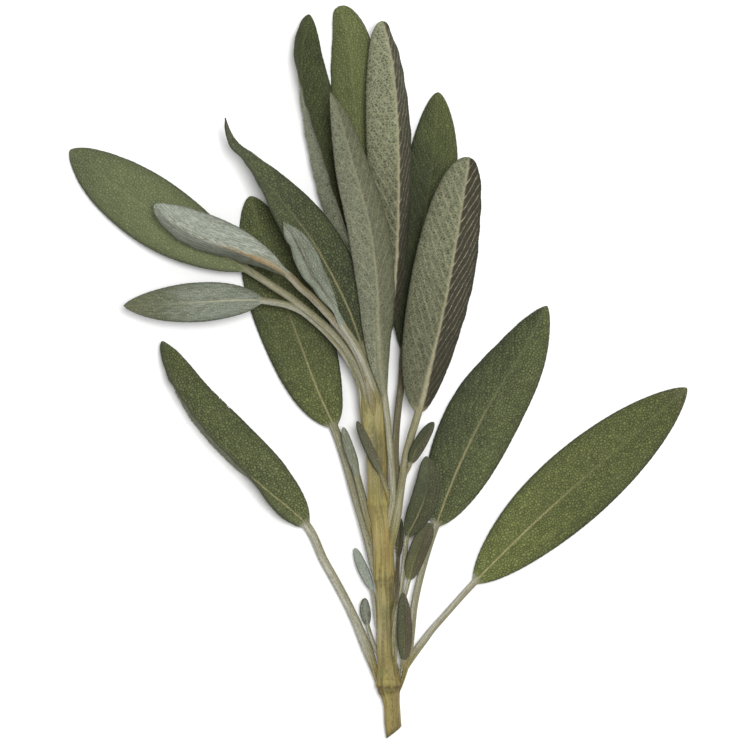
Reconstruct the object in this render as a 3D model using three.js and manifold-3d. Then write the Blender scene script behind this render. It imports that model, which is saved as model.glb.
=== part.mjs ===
// A cut sprig of garden sage lying on a table: one square stem with opposite leaves,
// two side shoots and the small leaves that grow in the leaf axils.
// Millimetres, +Z up. The surface it lies on is z = 0, the stem's cut end points to -Y, and
// the origin is under the middle of the sprig.
import * as THREE from 'three';
import Module from 'manifold-3d';

// ---------------------------------------------------------------- driving dimensions
const BLADE_THICKNESS = 0.7;
const MARGIN_THICKNESS = 0.6;
const RIB_DEPTH = 0.45;         // how far the midrib stands below the blade
const BLADE_COLUMNS = 6;        // strips across a large leaf
const SMALL_COLUMNS = 4;
const BLADE_RINGS = 15;
const SMALL_RINGS = 9;
const STALK_SPACING = 4.5;      // mm between the rings of a leaf stalk
const TIP_HALF_WIDTH = 0.4;
const FOLD_FREE_HALF_WIDTH = 3; // a blade narrower than this folds less
const ROOT_GAP = 0.3;           // clearance between a leaf's root and its stem
const STEM_SIDES = 16;
const STEM_SQUARENESS = 3.4;    // superellipse exponent of the square stem
const STEM_TURN = 0.3;          // radians by which the square section is turned
const SLENDER_SIDES = 10;

const COLOURS = {
  leaf: 0x666b48,
  leafUnderside: 0x7c7f66,
  youngLeaf: 0x989d90,
  stem: 0x938757,
  shoot: 0x8c8967,
};

// ---------------------------------------------------------------- small helpers
const UP = new THREE.Vector3(0, 0, 1);
const radians = THREE.MathUtils.degToRad;

// The value at u (0 to 1) of a list that is spread evenly from the start to the end.
function blend(values, u) {
  const place = u * (values.length - 1);
  const index = Math.min(Math.floor(place), values.length - 2);
  const part = place - index;
  const eased = values.length > 2 ? part : part * part * (3 - 2 * part);
  return values[index] + (values[index + 1] - values[index]) * eased;
}

function smooth(low, high, value) {
  return THREE.MathUtils.smoothstep(value, low, high);
}

// ---------------------------------------------------------------- lofted solids
function sideFaces(rings, upperCount) {
  const size = rings[0].length;
  const faces = [];
  for (let ring = 0; ring + 1 < rings.length; ring++) {
    for (let k = 0; k < size; k++) {
      const next = (k + 1) % size;
      const a = ring * size + k;
      const b = ring * size + next;
      const c = b + size;
      const d = a + size;
      if (k < upperCount) {
        faces.push([a, b, c], [a, c, d]);
      } else {
        faces.push([a, b, d], [b, c, d]);
      }
    }
  }
  return faces;
}

function capFaces(size, start, flipped) {
  const faces = [];
  for (let k = 0; k + 1 < size / 2; k++) {
    const a = start + k;
    const b = start + k + 1;
    const c = start + size - 2 - k;
    const d = start + size - 1 - k;
    faces.push([a, d, c], [a, c, b]);
  }
  return flipped ? faces.map(([a, b, c]) => [a, c, b]) : faces;
}

function signedVolume(points, faces) {
  let sum = 0;
  for (const [a, b, c] of faces) {
    sum += points[a].dot(new THREE.Vector3().crossVectors(points[b], points[c]));
  }
  return sum / 6;
}

// Every ring runs along its upper side and back along its lower side.
function loft(rings) {
  const size = rings[0].length;
  const points = rings.flat();
  const last = points.length - size;
  const sides = sideFaces(rings, size / 2);
  let faces = sides.concat(capFaces(size, 0, false), capFaces(size, last, true));
  if (signedVolume(points, faces) < 0) {
    faces = faces.map(([a, b, c]) => [a, c, b]);
  }
  return { points, faces };
}

// ---------------------------------------------------------------- leaf
// The path runs from the root of the stalk through the base of the blade to the tip.
function leafPath(leaf) {
  const points = leaf.stalk.concat(leaf.rib).map(([x, y, z]) => new THREE.Vector3(x, y, z));
  const curve = new THREE.CatmullRomCurve3(points, false, 'centripetal');
  curve.arcLengthDivisions = 400;
  const lengths = curve.getLengths();
  const knot = (leaf.stalk.length / (points.length - 1)) * (lengths.length - 1);
  const bladeStart = lengths[Math.round(knot)] / lengths[lengths.length - 1];
  return { curve, bladeStart, length: lengths[lengths.length - 1] };
}

function bladeHalfWidth(leaf, u) {
  const [base, tip] = leaf.taper;
  const widest = base / (base + tip);
  const peak = Math.pow(widest, base) * Math.pow(1 - widest, tip);
  return (leaf.width / 2) * Math.pow(u, base) * Math.pow(1 - u, tip) / peak;
}

function frameAt(path, leaf, along, u) {
  const centre = path.curve.getPointAt(along);
  const ahead = path.curve.getTangentAt(along);
  const level = new THREE.Vector3().crossVectors(ahead, UP).normalize();
  const lift = new THREE.Vector3().crossVectors(level, ahead);
  const roll = radians(blend(leaf.roll, u));
  const side = level.clone().multiplyScalar(Math.cos(roll)).addScaledVector(lift, Math.sin(roll));
  const face = lift.clone().multiplyScalar(Math.cos(roll)).addScaledVector(level, -Math.sin(roll));
  return { centre, side, face };
}

function place({ centre, side, face }, across, above) {
  return centre.clone().addScaledVector(side, across).addScaledVector(face, above);
}

function stalkSection(leaf, columns) {
  const half = leaf.stalkWidth / 2;
  const loop = [];
  for (let k = 0; k < 2 * (columns + 1); k++) {
    const angle = Math.PI * (1 - (k + 0.5) / (columns + 1));
    loop.push([half * Math.cos(angle), 0.85 * half * Math.sin(angle)]);
  }
  return loop;
}

// One half of the blade's section, walked from the midrib to the margin.
function halfSection(leaf, u, half, sign, steps) {
  const ease = Math.min(1, half / FOLD_FREE_HALF_WIDTH);
  const fold = radians(blend(sign < 0 ? leaf.left : leaf.right, u)) * ease;
  const curl = radians(leaf.curl) * ease;
  const phase = 2 * Math.PI * (leaf.wave[1] * u + leaf.wave[2] + (sign < 0 ? 0.37 : 0));
  const swell = leaf.wave[0] * Math.sin(phase) * ease * Math.min(1, 6 * u * (1 - u));
  const walked = [];
  let across = 0;
  let above = 0;
  for (let step = 0; step <= steps; step++) {
    const v = step / steps;
    const slope = fold + curl * v;
    if (step > 0) {
      const middle = fold + curl * (v - 0.5 / steps);
      across += (half / steps) * Math.cos(middle);
      above += (half / steps) * Math.sin(middle);
    }
    const lift = swell * v * v;
    walked.push({
      across: sign * (across - lift * Math.sin(slope)),
      above: above + lift * Math.cos(slope),
      normal: [-sign * Math.sin(slope), Math.cos(slope)],
    });
  }
  return walked;
}

function bladeSection(leaf, u, columns) {
  const half = Math.max(bladeHalfWidth(leaf, u), u < 0.5 ? leaf.stalkWidth / 2 : TIP_HALF_WIDTH);
  const steps = columns / 2;
  const left = halfSection(leaf, u, half, -1, steps);
  const right = halfSection(leaf, u, half, 1, steps);
  const columnsWalked = left.slice(1).reverse().concat(right);
  const rib = RIB_DEPTH * (1 - u) * Math.min(1, half / 4);
  const upper = [];
  const lower = [];
  columnsWalked.forEach((point, index) => {
    const out = Math.abs(index - steps) / steps;
    const thick = (BLADE_THICKNESS + (MARGIN_THICKNESS - BLADE_THICKNESS) * out) / 2;
    const centred = index === steps;
    const normal = centred ? [0, 1] : point.normal;
    const under = thick + (centred ? rib : 0);
    upper.push([point.across + normal[0] * thick, point.above + normal[1] * thick]);
    lower.push([point.across - normal[0] * under, point.above - normal[1] * under]);
  });
  return upper.concat(lower.reverse());
}

function bladeStations(count) {
  return Array.from({ length: count }, (_, i) => {
    const even = i / (count - 1);
    const rounded = (1 - Math.cos(Math.PI * even)) / 2;
    return 0.5 * even + 0.5 * rounded;
  });
}

function buildLeaf(leaf) {
  const columns = leaf.small ? SMALL_COLUMNS : BLADE_COLUMNS;
  const path = leafPath(leaf);
  const stalkRings = Math.max(2, Math.round((path.bladeStart * path.length) / STALK_SPACING));
  const stalk = stalkSection(leaf, columns);
  const rings = [];
  for (let i = 0; i < stalkRings; i++) {
    const frame = frameAt(path, leaf, (path.bladeStart * i) / stalkRings, 0);
    rings.push(stalk.map(([across, above]) => place(frame, across, above)));
  }
  for (const u of bladeStations(leaf.small ? SMALL_RINGS : BLADE_RINGS)) {
    const frame = frameAt(path, leaf, path.bladeStart + (1 - path.bladeStart) * u, u);
    const blade = bladeSection(leaf, u, columns);
    const merge = smooth(-0.03, 0.06, u);
    rings.push(blade.map(([across, above], k) => {
      const sideways = stalk[k][0] + (across - stalk[k][0]) * merge;
      const upwards = stalk[k][1] + (above - stalk[k][1]) * merge;
      return place(frame, sideways, upwards);
    }));
  }
  return loft(rings);
}

// ---------------------------------------------------------------- stems
// A station is a point of the axis with the half width and half height of the section.
function stemSection(sides, wide, high, turn, squareness) {
  const loop = [];
  for (let k = 0; k < sides; k++) {
    const angle = Math.PI - (2 * Math.PI * (k + 0.5)) / sides;
    const c = Math.cos(angle - turn);
    const s = Math.sin(angle - turn);
    const x = Math.sign(c) * Math.pow(Math.abs(c), 2 / squareness);
    const y = Math.sign(s) * Math.pow(Math.abs(s), 2 / squareness);
    loop.push([
      wide * (x * Math.cos(turn) - y * Math.sin(turn)),
      high * (x * Math.sin(turn) + y * Math.cos(turn)),
    ]);
  }
  return loop;
}

function buildStem(stem, growth) {
  const axis = stem.stations.map((station) => station.point);
  const rings = stem.stations.map((station, i) => {
    const before = axis[Math.max(0, i - 1)];
    const after = axis[Math.min(axis.length - 1, i + 1)];
    const ahead = after.clone().sub(before).normalize();
    const side = new THREE.Vector3().crossVectors(ahead, UP).normalize();
    const face = new THREE.Vector3().crossVectors(side, ahead);
    const section = stemSection(
      stem.sides,
      station.wide + growth,
      station.high + growth,
      stem.turn,
      stem.squareness,
    );
    return section.map(([across, above]) => {
      const point = place({ centre: station.point, side, face }, across, above);
      point.addScaledVector(ahead, station.slant * across);
      point.z = Math.max(point.z, -growth);
      return point;
    });
  });
  return loft(rings);
}

function station(x, y, z, wide, high, slant = 0) {
  return { point: new THREE.Vector3(x, y, z), wide, high, slant };
}

// The main stem: oblique cut end, a wide collar where the lowest leaves arise, then three
// more rings. The shoots arise at its head.
const MAIN_STEM = {
  slot: 'stem',
  sides: STEM_SIDES,
  turn: STEM_TURN,
  squareness: STEM_SQUARENESS,
  stations: [
    station(3.9, -89.9, 1.9, 1.9, 1.9, 0.62),
    station(3.6, -87.4, 1.9, 1.9, 1.9),
    station(3.4, -83.6, 1.95, 1.85, 1.95),
    station(3.1, -81.1, 2.1, 2.1, 2),
    station(2.8, -79.3, 2.3, 2.9, 2.2),
    station(2.7, -78.1, 2.5, 3.5, 2.4),
    station(2.6, -76.8, 2.7, 3.3, 2.35),
    station(2.4, -74.3, 2.9, 2.6, 2.1),
    station(2, -70.6, 3.2, 2.15, 1.95),
    station(1.8, -63, 3.8, 2.05, 1.9),
    station(1.7, -55.8, 4.3, 2.1, 1.95),
    station(1.6, -52.8, 4.5, 2.3, 2.05),
    station(1.5, -51, 4.7, 2.6, 2.2),
    station(1.4, -49.3, 4.9, 2.45, 2.1),
    station(1.2, -43.8, 5.3, 2.4, 2),
    station(0.9, -37.3, 5.8, 2.5, 2),
    station(0.4, -34.6, 6, 2.6, 2.1),
    station(0.1, -32.8, 6.2, 2.7, 2.2),
    station(-0.1, -31.1, 6.4, 2.5, 2.05),
    station(-0.5, -24.4, 6.9, 2.1, 1.9),
    station(-0.7, -17.1, 7.4, 2.2, 1.95),
    station(-0.8, -15.2, 7.55, 2.6, 2.15),
    station(-0.9, -13.2, 7.7, 2.6, 2.05),
    station(-1, -8.2, 8, 2.7, 2),
    station(-1, -5, 8.2, 2.4, 1.8),
    station(-0.9, -3.2, 8.3, 1.6, 1.3),
  ],
};

const LEFT_SHOOT = {
  slot: 'shoot',
  sides: SLENDER_SIDES,
  turn: 0,
  squareness: 2.4,
  stations: [
    station(-1.9, -7.5, 8, 1.3, 1.2),
    station(-4.1, -3.5, 8.6, 1.25, 1.15),
    station(-6.6, 2.5, 9, 1.2, 1.1),
    station(-9.5, 6.7, 9.2, 1.15, 1.05),
    station(-12.3, 9.9, 9.3, 1.15, 1.05),
    station(-14.5, 12.1, 9.3, 1.35, 1.2),
    station(-15.7, 13.4, 9.3, 1.2, 1),
  ],
};

const UPPER_SHOOT = {
  slot: 'shoot',
  sides: SLENDER_SIDES,
  turn: 0,
  squareness: 2.4,
  stations: [
    station(-1.4, -6.7, 9.2, 1.4, 1.2),
    station(-2.7, -1.3, 11, 1.4, 1.25),
    station(-4.3, 3.7, 12, 1.4, 1.25),
    station(-6.5, 7.4, 12.4, 1.4, 1.25),
    station(-8.5, 9.9, 12.6, 1.5, 1.3),
    station(-9.8, 11.3, 12.7, 1.2, 1.05),
  ],
};

const STEMS = { main_stem: MAIN_STEM, left_shoot: LEFT_SHOOT, upper_shoot: UPPER_SHOOT };

// ---------------------------------------------------------------- the leaves
// stalk: from the root to just before the blade; rib: from the blade's base to its tip.
// roll turns the whole section, left and right raise each half towards the upper side.
const LARGE_LEAVES = {
  leaf_low_left: {
    stalk: [
      [1.4, -79.3, 2.6], [-1.1, -75.3, 2.6], [-3.1, -70.6, 2.4], [-8.1, -57.7, 1.8],
      [-13.1, -47.2, 1.5],
    ],
    rib: [
      [-17.8, -38.5, 1.6], [-28.6, -29, 1.35], [-39.6, -19.5, 1.25], [-48.6, -7.8, 1.25],
      [-54, 7.7, 2],
    ],
    width: 19,
    taper: [0.66, 0.74],
    stalkWidth: 2.1,
    roll: [-20, -42, -50, -46, -40],
    left: [25, 46, 52, 50, 30],
    right: [20, 40, 46, 42, 25],
    curl: 0,
    wave: [0.3, 2.5, 0.1],
    slot: 'leaf',
  },
  leaf_low_right: {
    stalk: [
      [4.1, -78.8, 2.4], [6.1, -74.9, 2.3], [8.1, -70.9, 2.1], [12.4, -65.9, 2],
      [18.3, -58.9, 1.7],
    ],
    rib: [
      [23.8, -52.7, 1.5], [36.8, -39.7, 1.3], [49.6, -28, 1.3], [62.8, -16.5, 1.3],
      [77.1, -4, 0.8],
    ],
    width: 18.4,
    taper: [0.68, 0.72],
    stalkWidth: 1.6,
    roll: [0, 3, 4, 0],
    left: [12, 10, 6, 4],
    right: [14, 10, 6, 4],
    curl: -8,
    wave: [0.3, 2.2, 0.2],
    slot: 'leaf',
  },
  leaf_mid_left: {
    stalk: [
      [0.9, -54.3, 4], [-0.7, -48.8, 4.4], [-3.1, -39.9, 3.8], [-5.9, -30.4, 3.2],
      [-8.6, -20.7, 2.6],
    ],
    rib: [
      [-11.1, -13.7, 2.2], [-15.1, -4.8, 1.9], [-19.6, 7.2, 1.6], [-25.6, 23.4, 1.5],
      [-32.1, 43.9, 1],
    ],
    width: 17.6,
    taper: [0.55, 0.6],
    stalkWidth: 2.2,
    roll: [0, 0, 0, 0],
    left: [8, 4, 4, 4],
    right: [8, 4, 4, 4],
    curl: -4,
    wave: [0.3, 2.0, 0.5],
    slot: 'leaf',
  },
  leaf_mid_right: {
    stalk: [
      [4.6, -75.7, 4.2], [6.6, -71.7, 4.8], [8.1, -65.7, 4.6], [9.3, -56.8, 4.2],
      [11.8, -46.3, 3.9],
    ],
    rib: [
      [14.3, -38.4, 3.5], [20.1, -23.4, 3.2], [27.5, -8.5, 2.8], [35.8, 4.7, 2.4],
      [42.1, 16.5, 1.7],
    ],
    width: 18.4,
    taper: [0.62, 0.74],
    stalkWidth: 1.75,
    roll: [0, 0, 0, 0],
    left: [10, -4, -10, -6],
    right: [10, 4, 2, 0],
    curl: -10,
    wave: [0.3, 2.2, 0.8],
    slot: 'leaf',
  },
  leaf_far_left: {
    stalk: [[-14.5, 12.6, 9.4], [-17.5, 15.8, 9.6], [-21.9, 18.9, 9.2], [-27.4, 22.3, 8.6]],
    rib: [
      [-32.4, 25.3, 8], [-43.1, 31.8, 6.6], [-54.4, 38.8, 4.8], [-66.2, 47.1, 2.8],
      [-77.1, 55.4, 1],
    ],
    width: 16.8,
    taper: [0.76, 0.68],
    stalkWidth: 1.7,
    roll: [0, 0, 0, 0],
    left: [10, 4, 0, 0],
    right: [10, 4, 0, 0],
    curl: -6,
    wave: [0.35, 1.8, 0.3],
    slot: 'leaf',
  },
  leaf_curled_tip: {
    stalk: [[-0.9, -5, 8.9], [-1.9, -1, 9.9]],
    rib: [
      [-3.1, 3.4, 11], [-8, 17.3, 11.6], [-16.7, 32.9, 11], [-26.4, 43.8, 10.4],
      [-33.8, 52.5, 10.4], [-37.7, 62.3, 10.6],
    ],
    width: 13.2,
    taper: [0.45, 0.9],
    stalkWidth: 1.8,
    roll: [0, -4, -16, -40, -60],
    left: [4, 4, 14, 40, 40],
    right: [10, 10, 10, 20, 20],
    curl: -6,
    wave: [0.3, 2.0, 0.1],
    slot: 'leaf',
  },
  leaf_top_1: {
    stalk: [[-1.9, -6.5, 7], [-2.4, 0, 6.4]],
    rib: [
      [-3.6, 9.2, 5.55], [-7.8, 25.9, 4.75], [-14.3, 43.8, 4.2], [-18.2, 63, 3.4],
      [-19.3, 77.8, 2.8], [-17.3, 89.2, 3],
    ],
    width: 18,
    taper: [0.75, 0.56],
    stalkWidth: 1.8,
    roll: [-30, -58, -54, -36, -22],
    left: [20, 60, 62, 60, 30],
    right: [20, 62, 62, 42, 25],
    curl: 0,
    wave: [0.2, 2.0, 0.4],
    slot: 'leaf',
  },
  leaf_top_2: {
    stalk: [[-0.6, -7.5, 6.2], [-0.2, -1.5, 5.2]],
    rib: [
      [-0.6, 5.5, 4.1], [-2.1, 25.4, 3.75], [-4.1, 47.8, 4], [-6.1, 70.2, 4.1],
      [-7.6, 83.9, 3.9], [-9.8, 91.2, 3],
    ],
    width: 14.5,
    taper: [0.6, 0.42],
    stalkWidth: 1.7,
    roll: [5, 14, 16, 16],
    left: [0, -10, -12, -16],
    right: [0, -10, -12, -8],
    curl: -6,
    wave: [0.15, 2.0, 0.2],
    slot: 'leaf',
  },
  leaf_top_3: {
    stalk: [[0.1, -7.5, 7.6], [1.1, 0, 8.2]],
    rib: [
      [2.1, 8.4, 9.2], [4.1, 25.2, 10.2], [4.8, 42.5, 10.6], [4.6, 59.9, 10.2],
      [3.1, 77.4, 8.4], [0.9, 87.2, 6.6],
    ],
    width: 15.5,
    taper: [0.8, 0.5],
    stalkWidth: 1.6,
    roll: [160, 150, 150, 148],
    left: [15, 36, 36, 36],
    right: [15, 30, 30, 30],
    curl: 6,
    wave: [0.2, 2.0, 0.2],
    slot: 'leafUnderside',
  },
  leaf_top_4: {
    stalk: [
      [2.1, -37.7, 7.4], [3.1, -32.8, 8.4], [3.7, -26.8, 9.2], [3.4, -20.8, 10],
      [2.7, -13.1, 11.4], [2.1, -4.5, 12.6],
    ],
    rib: [
      [1.6, 5.4, 13.6], [0.1, 21.4, 14.8], [-2.1, 36.2, 15.4], [-5.8, 51, 15.4],
      [-9.5, 63.3, 15], [-12.2, 69, 14.4],
    ],
    width: 11.8,
    taper: [0.42, 0.85],
    stalkWidth: 1.7,
    roll: [172, 168, 170, 175],
    left: [10, 14, 14, 10],
    right: [10, 12, 12, 10],
    curl: 22,
    wave: [0.2, 2.0, 0.6],
    slot: 'leafUnderside',
  },
  leaf_top_5: {
    stalk: [[2.4, -33.1, 6], [4.3, -24.9, 6.8], [5.1, -16.9, 6.6], [5.8, -5.7, 5.6]],
    rib: [[6.2, 5, 4.6], [8.4, 20.4, 3], [11.6, 39.2, 2], [13.9, 55.4, 1.7], [14.9, 69.9, 1]],
    width: 14.2,
    taper: [0.72, 0.42],
    stalkWidth: 1.7,
    roll: [0, 0, 0, 0],
    left: [10, 6, 4, 0],
    right: [10, 6, 4, 0],
    curl: -6,
    wave: [0.2, 2.0, 0.3],
    slot: 'leaf',
  },
  leaf_top_6: {
    stalk: [
      [3.4, -41.8, 6.6], [4.8, -34.8, 7.6], [6, -27.8, 8.2], [7.3, -20.8, 8.8],
      [8.5, -15.4, 9.2],
    ],
    rib: [
      [9.9, -9.9, 9.8], [12.7, 1.7, 11], [15.9, 15.3, 12], [19.1, 32.6, 12],
      [20.9, 43.8, 11], [22.4, 53.2, 9.4],
    ],
    width: 18.6,
    taper: [0.5, 0.48],
    stalkWidth: 2.0,
    roll: [150, 156, 158, 160],
    left: [25, 26, 28, 20],
    right: [15, 24, 24, 15],
    curl: 6,
    wave: [0.25, 2.0, 0.2],
    slot: 'leafUnderside',
  },
  young_leaf_left: {
    stalk: [[-15, 11.1, 8.4], [-17.5, 14.1, 8.3], [-20.4, 15.8, 9], [-24.4, 17, 10]],
    rib: [
      [-28.8, 17.7, 10.6], [-36.7, 17.7, 10.8], [-45.4, 17.2, 10.6], [-54.1, 16.4, 10],
      [-62.8, 15.8, 9],
    ],
    width: 9.8,
    taper: [0.6, 0.72],
    stalkWidth: 1.4,
    roll: [0, 0, 0, 0],
    left: [14, 10, 6, 0],
    right: [14, 10, 6, 0],
    curl: 0,
    wave: [0.2, 2.0, 0.3],
    slot: 'youngLeaf',
  },
  young_leaf_folded: {
    stalk: [[-8.8, 10.1, 12.8], [-10.7, 13.3, 13.6], [-14.4, 18, 14.6], [-18.6, 21.9, 15.3]],
    rib: [
      [-23.3, 24.4, 15.8], [-30.2, 26.4, 16], [-37, 29.3, 16], [-45.2, 33.2, 15.4],
      [-55.2, 41.4, 13.2],
    ],
    width: 14,
    taper: [0.6, 0.5],
    stalkWidth: 1.6,
    roll: [190, 206, 208, 200],
    left: [20, 42, 42, 30],
    right: [20, 44, 44, 30],
    curl: 0,
    wave: [0.2, 2.0, 0.3],
    slot: 'youngLeaf',
  },
  young_leaf_upper: {
    stalk: [[-7, 8.4, 12.8], [-7.5, 10.8, 13.8]],
    rib: [[-8.8, 14, 14.4], [-12.2, 20.7, 15], [-16.9, 27.6, 15.2], [-21.8, 35, 14.6]],
    width: 8,
    taper: [0.5, 0.7],
    stalkWidth: 1.4,
    roll: [0, 0, 0],
    left: [20, 60, 30],
    right: [20, 50, 30],
    curl: 0,
    wave: [0.2, 2.0, 0.3],
    slot: 'youngLeaf',
    small: true,
  },
};

// The young leaves in the axils are folded along the midrib and have no waves.
const AXIL_DEFAULTS = {
  left: [20, 45, 25],
  right: [20, 40, 25],
  curl: 0,
  wave: [0, 1, 0],
  stalkWidth: 1.1,
  slot: 'leaf',
  small: true,
};

const AXIL_LEAVES = {
  axil_leaf_1: {
    stalk: [[8.2, -23.3, 9.9], [8.5, -21.8, 10.2]],
    rib: [[9, -20.6, 10.4], [10.5, -17.6, 10.6], [12.2, -14.9, 10.6], [14, -12.1, 10]],
    width: 4.6,
    taper: [0.5, 0.5],
    roll: [-20, -20, -20],
  },
  axil_leaf_2: {
    stalk: [[4.4, -58.3, 4], [5.8, -53.8, 4.6], [6.6, -46.3, 5.6]],
    rib: [[7.3, -41, 6.4], [9.8, -34.8, 6.8], [11.8, -28.3, 6.8], [11.8, -21.1, 6.4]],
    width: 6,
    taper: [0.5, 0.6],
    roll: [20, 20, 10],
    stalkWidth: 0.9,
  },
  axil_leaf_3: {
    stalk: [[4.6, -63.7, 4.4], [6.7, -57.8, 4.6]],
    rib: [[7.6, -52, 5.4], [8.8, -47.5, 6.2], [10.6, -42.3, 6.4], [12.1, -37.3, 6]],
    width: 4.2,
    taper: [0.5, 0.6],
    roll: [0, 0, 0],
    stalkWidth: 0.9,
  },
  axil_leaf_4: {
    stalk: [[3.4, -76.1, 5.2], [4.8, -73.6, 6.3]],
    rib: [[6.1, -71.6, 6.4], [6.3, -66.6, 7], [6.3, -60.3, 7.2], [6, -54.7, 6.8]],
    width: 3.9,
    taper: [0.5, 0.6],
    roll: [0, 0, 0],
  },
  axil_leaf_5: {
    stalk: [[-0.1, -27.8, 8.2], [-0.4, -25.3, 8.8]],
    rib: [[-1.1, -23.3, 9.4], [-2.6, -19.6, 9.8], [-4.1, -15.9, 9.6], [-5.3, -12.2, 9]],
    width: 2.6,
    taper: [0.5, 0.5],
    roll: [-20, -20, -20],
  },
  axil_leaf_6: {
    stalk: [[-2.1, -31.3, 6.6], [-3.6, -28.8, 6.4]],
    rib: [[-4.8, -25.9, 6.2], [-6.1, -21.9, 6], [-7.3, -17.9, 5.8], [-8.6, -13.7, 5.2]],
    width: 2.8,
    taper: [0.5, 0.5],
    roll: [0, 0, 0],
  },
  axil_leaf_7: {
    stalk: [[0.9, -67.3, 3.8], [-0.5, -61.3, 3.2], [-1, -57.3, 3.1]],
    rib: [[-1.6, -54.4, 3], [-3.1, -50.9, 2.8], [-4.6, -47.4, 2.6], [-5.9, -43.9, 2.2]],
    width: 2.6,
    taper: [0.5, 0.5],
    roll: [0, 0, 0],
    stalkWidth: 0.9,
  },
  axil_leaf_8: {
    stalk: [[0.9, -72.3, 3.2], [-1.1, -68.1, 2.6], [-2.2, -64.9, 2.4]],
    rib: [[-2.7, -63.1, 2.3], [-3.1, -60.9, 2.2], [-3.4, -58.6, 2.2], [-3.4, -56.4, 2.2]],
    width: 2.6,
    taper: [0.5, 0.5],
    roll: [0, 0, 0],
    stalkWidth: 0.9,
  },
  axil_leaf_9: {
    stalk: [[3.4, -53.3, 4.6], [4.5, -49.3, 4.8]],
    rib: [[4.7, -46.3, 5], [5.1, -43.1, 5.2], [5.3, -39.6, 5.3], [5.5, -36.3, 5.3]],
    width: 2.2,
    taper: [0.5, 0.6],
    roll: [30, 30, 30],
    stalkWidth: 0.9,
  },
};


const LEAVES = { ...LARGE_LEAVES };
for (const [name, leaf] of Object.entries(AXIL_LEAVES)) {
  LEAVES[name] = { ...AXIL_DEFAULTS, ...leaf };
}

// ---------------------------------------------------------------- assembly
function toManifold(wasm, solid) {
  const positions = new Float32Array(solid.points.flatMap((p) => [p.x, p.y, p.z]));
  const triangles = new Uint32Array(solid.faces.flat());
  return new wasm.Manifold(new wasm.Mesh({
    numProp: 3,
    vertProperties: positions,
    triVerts: triangles,
  }));
}

function toMesh(manifold, name, colour) {
  const mesh = manifold.getMesh();
  const positions = [];
  for (let i = 0; i < mesh.numVert; i++) {
    positions.push(...mesh.vertProperties.subarray(i * mesh.numProp, i * mesh.numProp + 3));
  }
  const geometry = new THREE.BufferGeometry();
  geometry.setAttribute('position', new THREE.Float32BufferAttribute(positions, 3));
  geometry.setIndex(Array.from(mesh.triVerts));
  geometry.computeVertexNormals();
  const material = new THREE.MeshStandardMaterial({ color: colour, roughness: 0.85, metalness: 0 });
  const node = new THREE.Mesh(geometry, material);
  node.name = name;
  return node;
}

async function build() {
  const wasm = await Module();
  wasm.setup();
  const group = new THREE.Group();
  group.name = 'sage_sprig';
  // Each shoot is cut clear of the stems before it, and each leaf of all of them.
  let woody = null;
  for (const [name, stem] of Object.entries(STEMS)) {
    const solid = toManifold(wasm, buildStem(stem, 0));
    group.add(toMesh(woody ? solid.subtract(woody) : solid, name, COLOURS[stem.slot]));
    const grown = toManifold(wasm, buildStem(stem, ROOT_GAP));
    woody = woody ? woody.add(grown) : grown;
  }
  for (const [name, leaf] of Object.entries(LEAVES)) {
    const solid = toManifold(wasm, buildLeaf(leaf)).subtract(woody);
    group.add(toMesh(solid, name, COLOURS[leaf.slot]));
  }
  return group;
}

export default await build();
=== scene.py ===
"""A cut sprig of garden sage, dressed leaf by leaf.

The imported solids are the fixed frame. Every leaf, stem and shoot is modelled again over
its own solid with a fine skin: pebbled blades with sunken veins, netted undersides, grooved
stalks, ridged stems with rings at the nodes, and down as colour and fine relief. Sizes are
millimetres and degrees until a mesh is made, and Blender then works in metres.
"""

import logging
import math
from collections.abc import Mapping, Sequence
from dataclasses import dataclass, field
from enum import Enum

import bpy
import numpy as np
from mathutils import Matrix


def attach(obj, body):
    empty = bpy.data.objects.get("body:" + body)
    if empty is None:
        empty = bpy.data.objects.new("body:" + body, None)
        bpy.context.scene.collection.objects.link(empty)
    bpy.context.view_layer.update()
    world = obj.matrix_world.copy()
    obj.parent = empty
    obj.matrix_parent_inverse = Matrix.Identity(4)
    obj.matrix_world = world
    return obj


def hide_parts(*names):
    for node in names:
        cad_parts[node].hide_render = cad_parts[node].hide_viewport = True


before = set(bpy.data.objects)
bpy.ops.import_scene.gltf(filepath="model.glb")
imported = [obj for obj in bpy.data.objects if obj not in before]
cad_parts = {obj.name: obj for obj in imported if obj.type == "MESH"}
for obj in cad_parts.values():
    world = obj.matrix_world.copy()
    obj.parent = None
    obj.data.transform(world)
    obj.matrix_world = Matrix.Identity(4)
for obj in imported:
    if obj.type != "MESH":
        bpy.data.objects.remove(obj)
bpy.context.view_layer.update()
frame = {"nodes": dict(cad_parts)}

log = logging.getLogger("sage")

MM = 0.001
UP = np.array([0.0, 0.0, 1.0])

# The skin of a leaf.
RING_STEP = 0.28            # mm between the rings of a blade
STALK_STEP = 0.8            # mm between the rings of a stalk
SHOWN_COLUMNS = 68          # points across the face that is seen from above
HIDDEN_COLUMNS = 28         # points across the other face
SMALL_COLUMNS = (40, 20)    # the same two for a small leaf
SMALL_WIDTH = 7.0           # a blade narrower than this is small
BLADE_THICKNESS = 0.42
STALK_ROUNDNESS = 0.85      # height of a stalk's section over its width
TIP_HALF_WIDTH = 0.4
FOLD_FREE_HALF_WIDTH = 3.0  # a blade narrower than this folds less
WALK_STEPS = 48             # steps from midrib to margin when a section is laid out
ROOT_START = 0.3            # a stalk's width where it starts inside the stem, as a share
ROOT_FLARE = 0.2            # a stalk is wider by this share where it leaves the stem
ROOT_DEPTH = 10.0           # mm below its first point at which a stalk starts, inside the stem
ROOT_INSET = 0.4            # how far out from the stem's middle it starts, as a share
SCALLOP = (0.05, 1.6)       # height and spacing of the margin's fine scallops
ROLLED_MARGIN = 0.28        # mm by which the margin rolls under
MARGIN_SWELL = 0.06         # height of the margin's shortest waves

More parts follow.
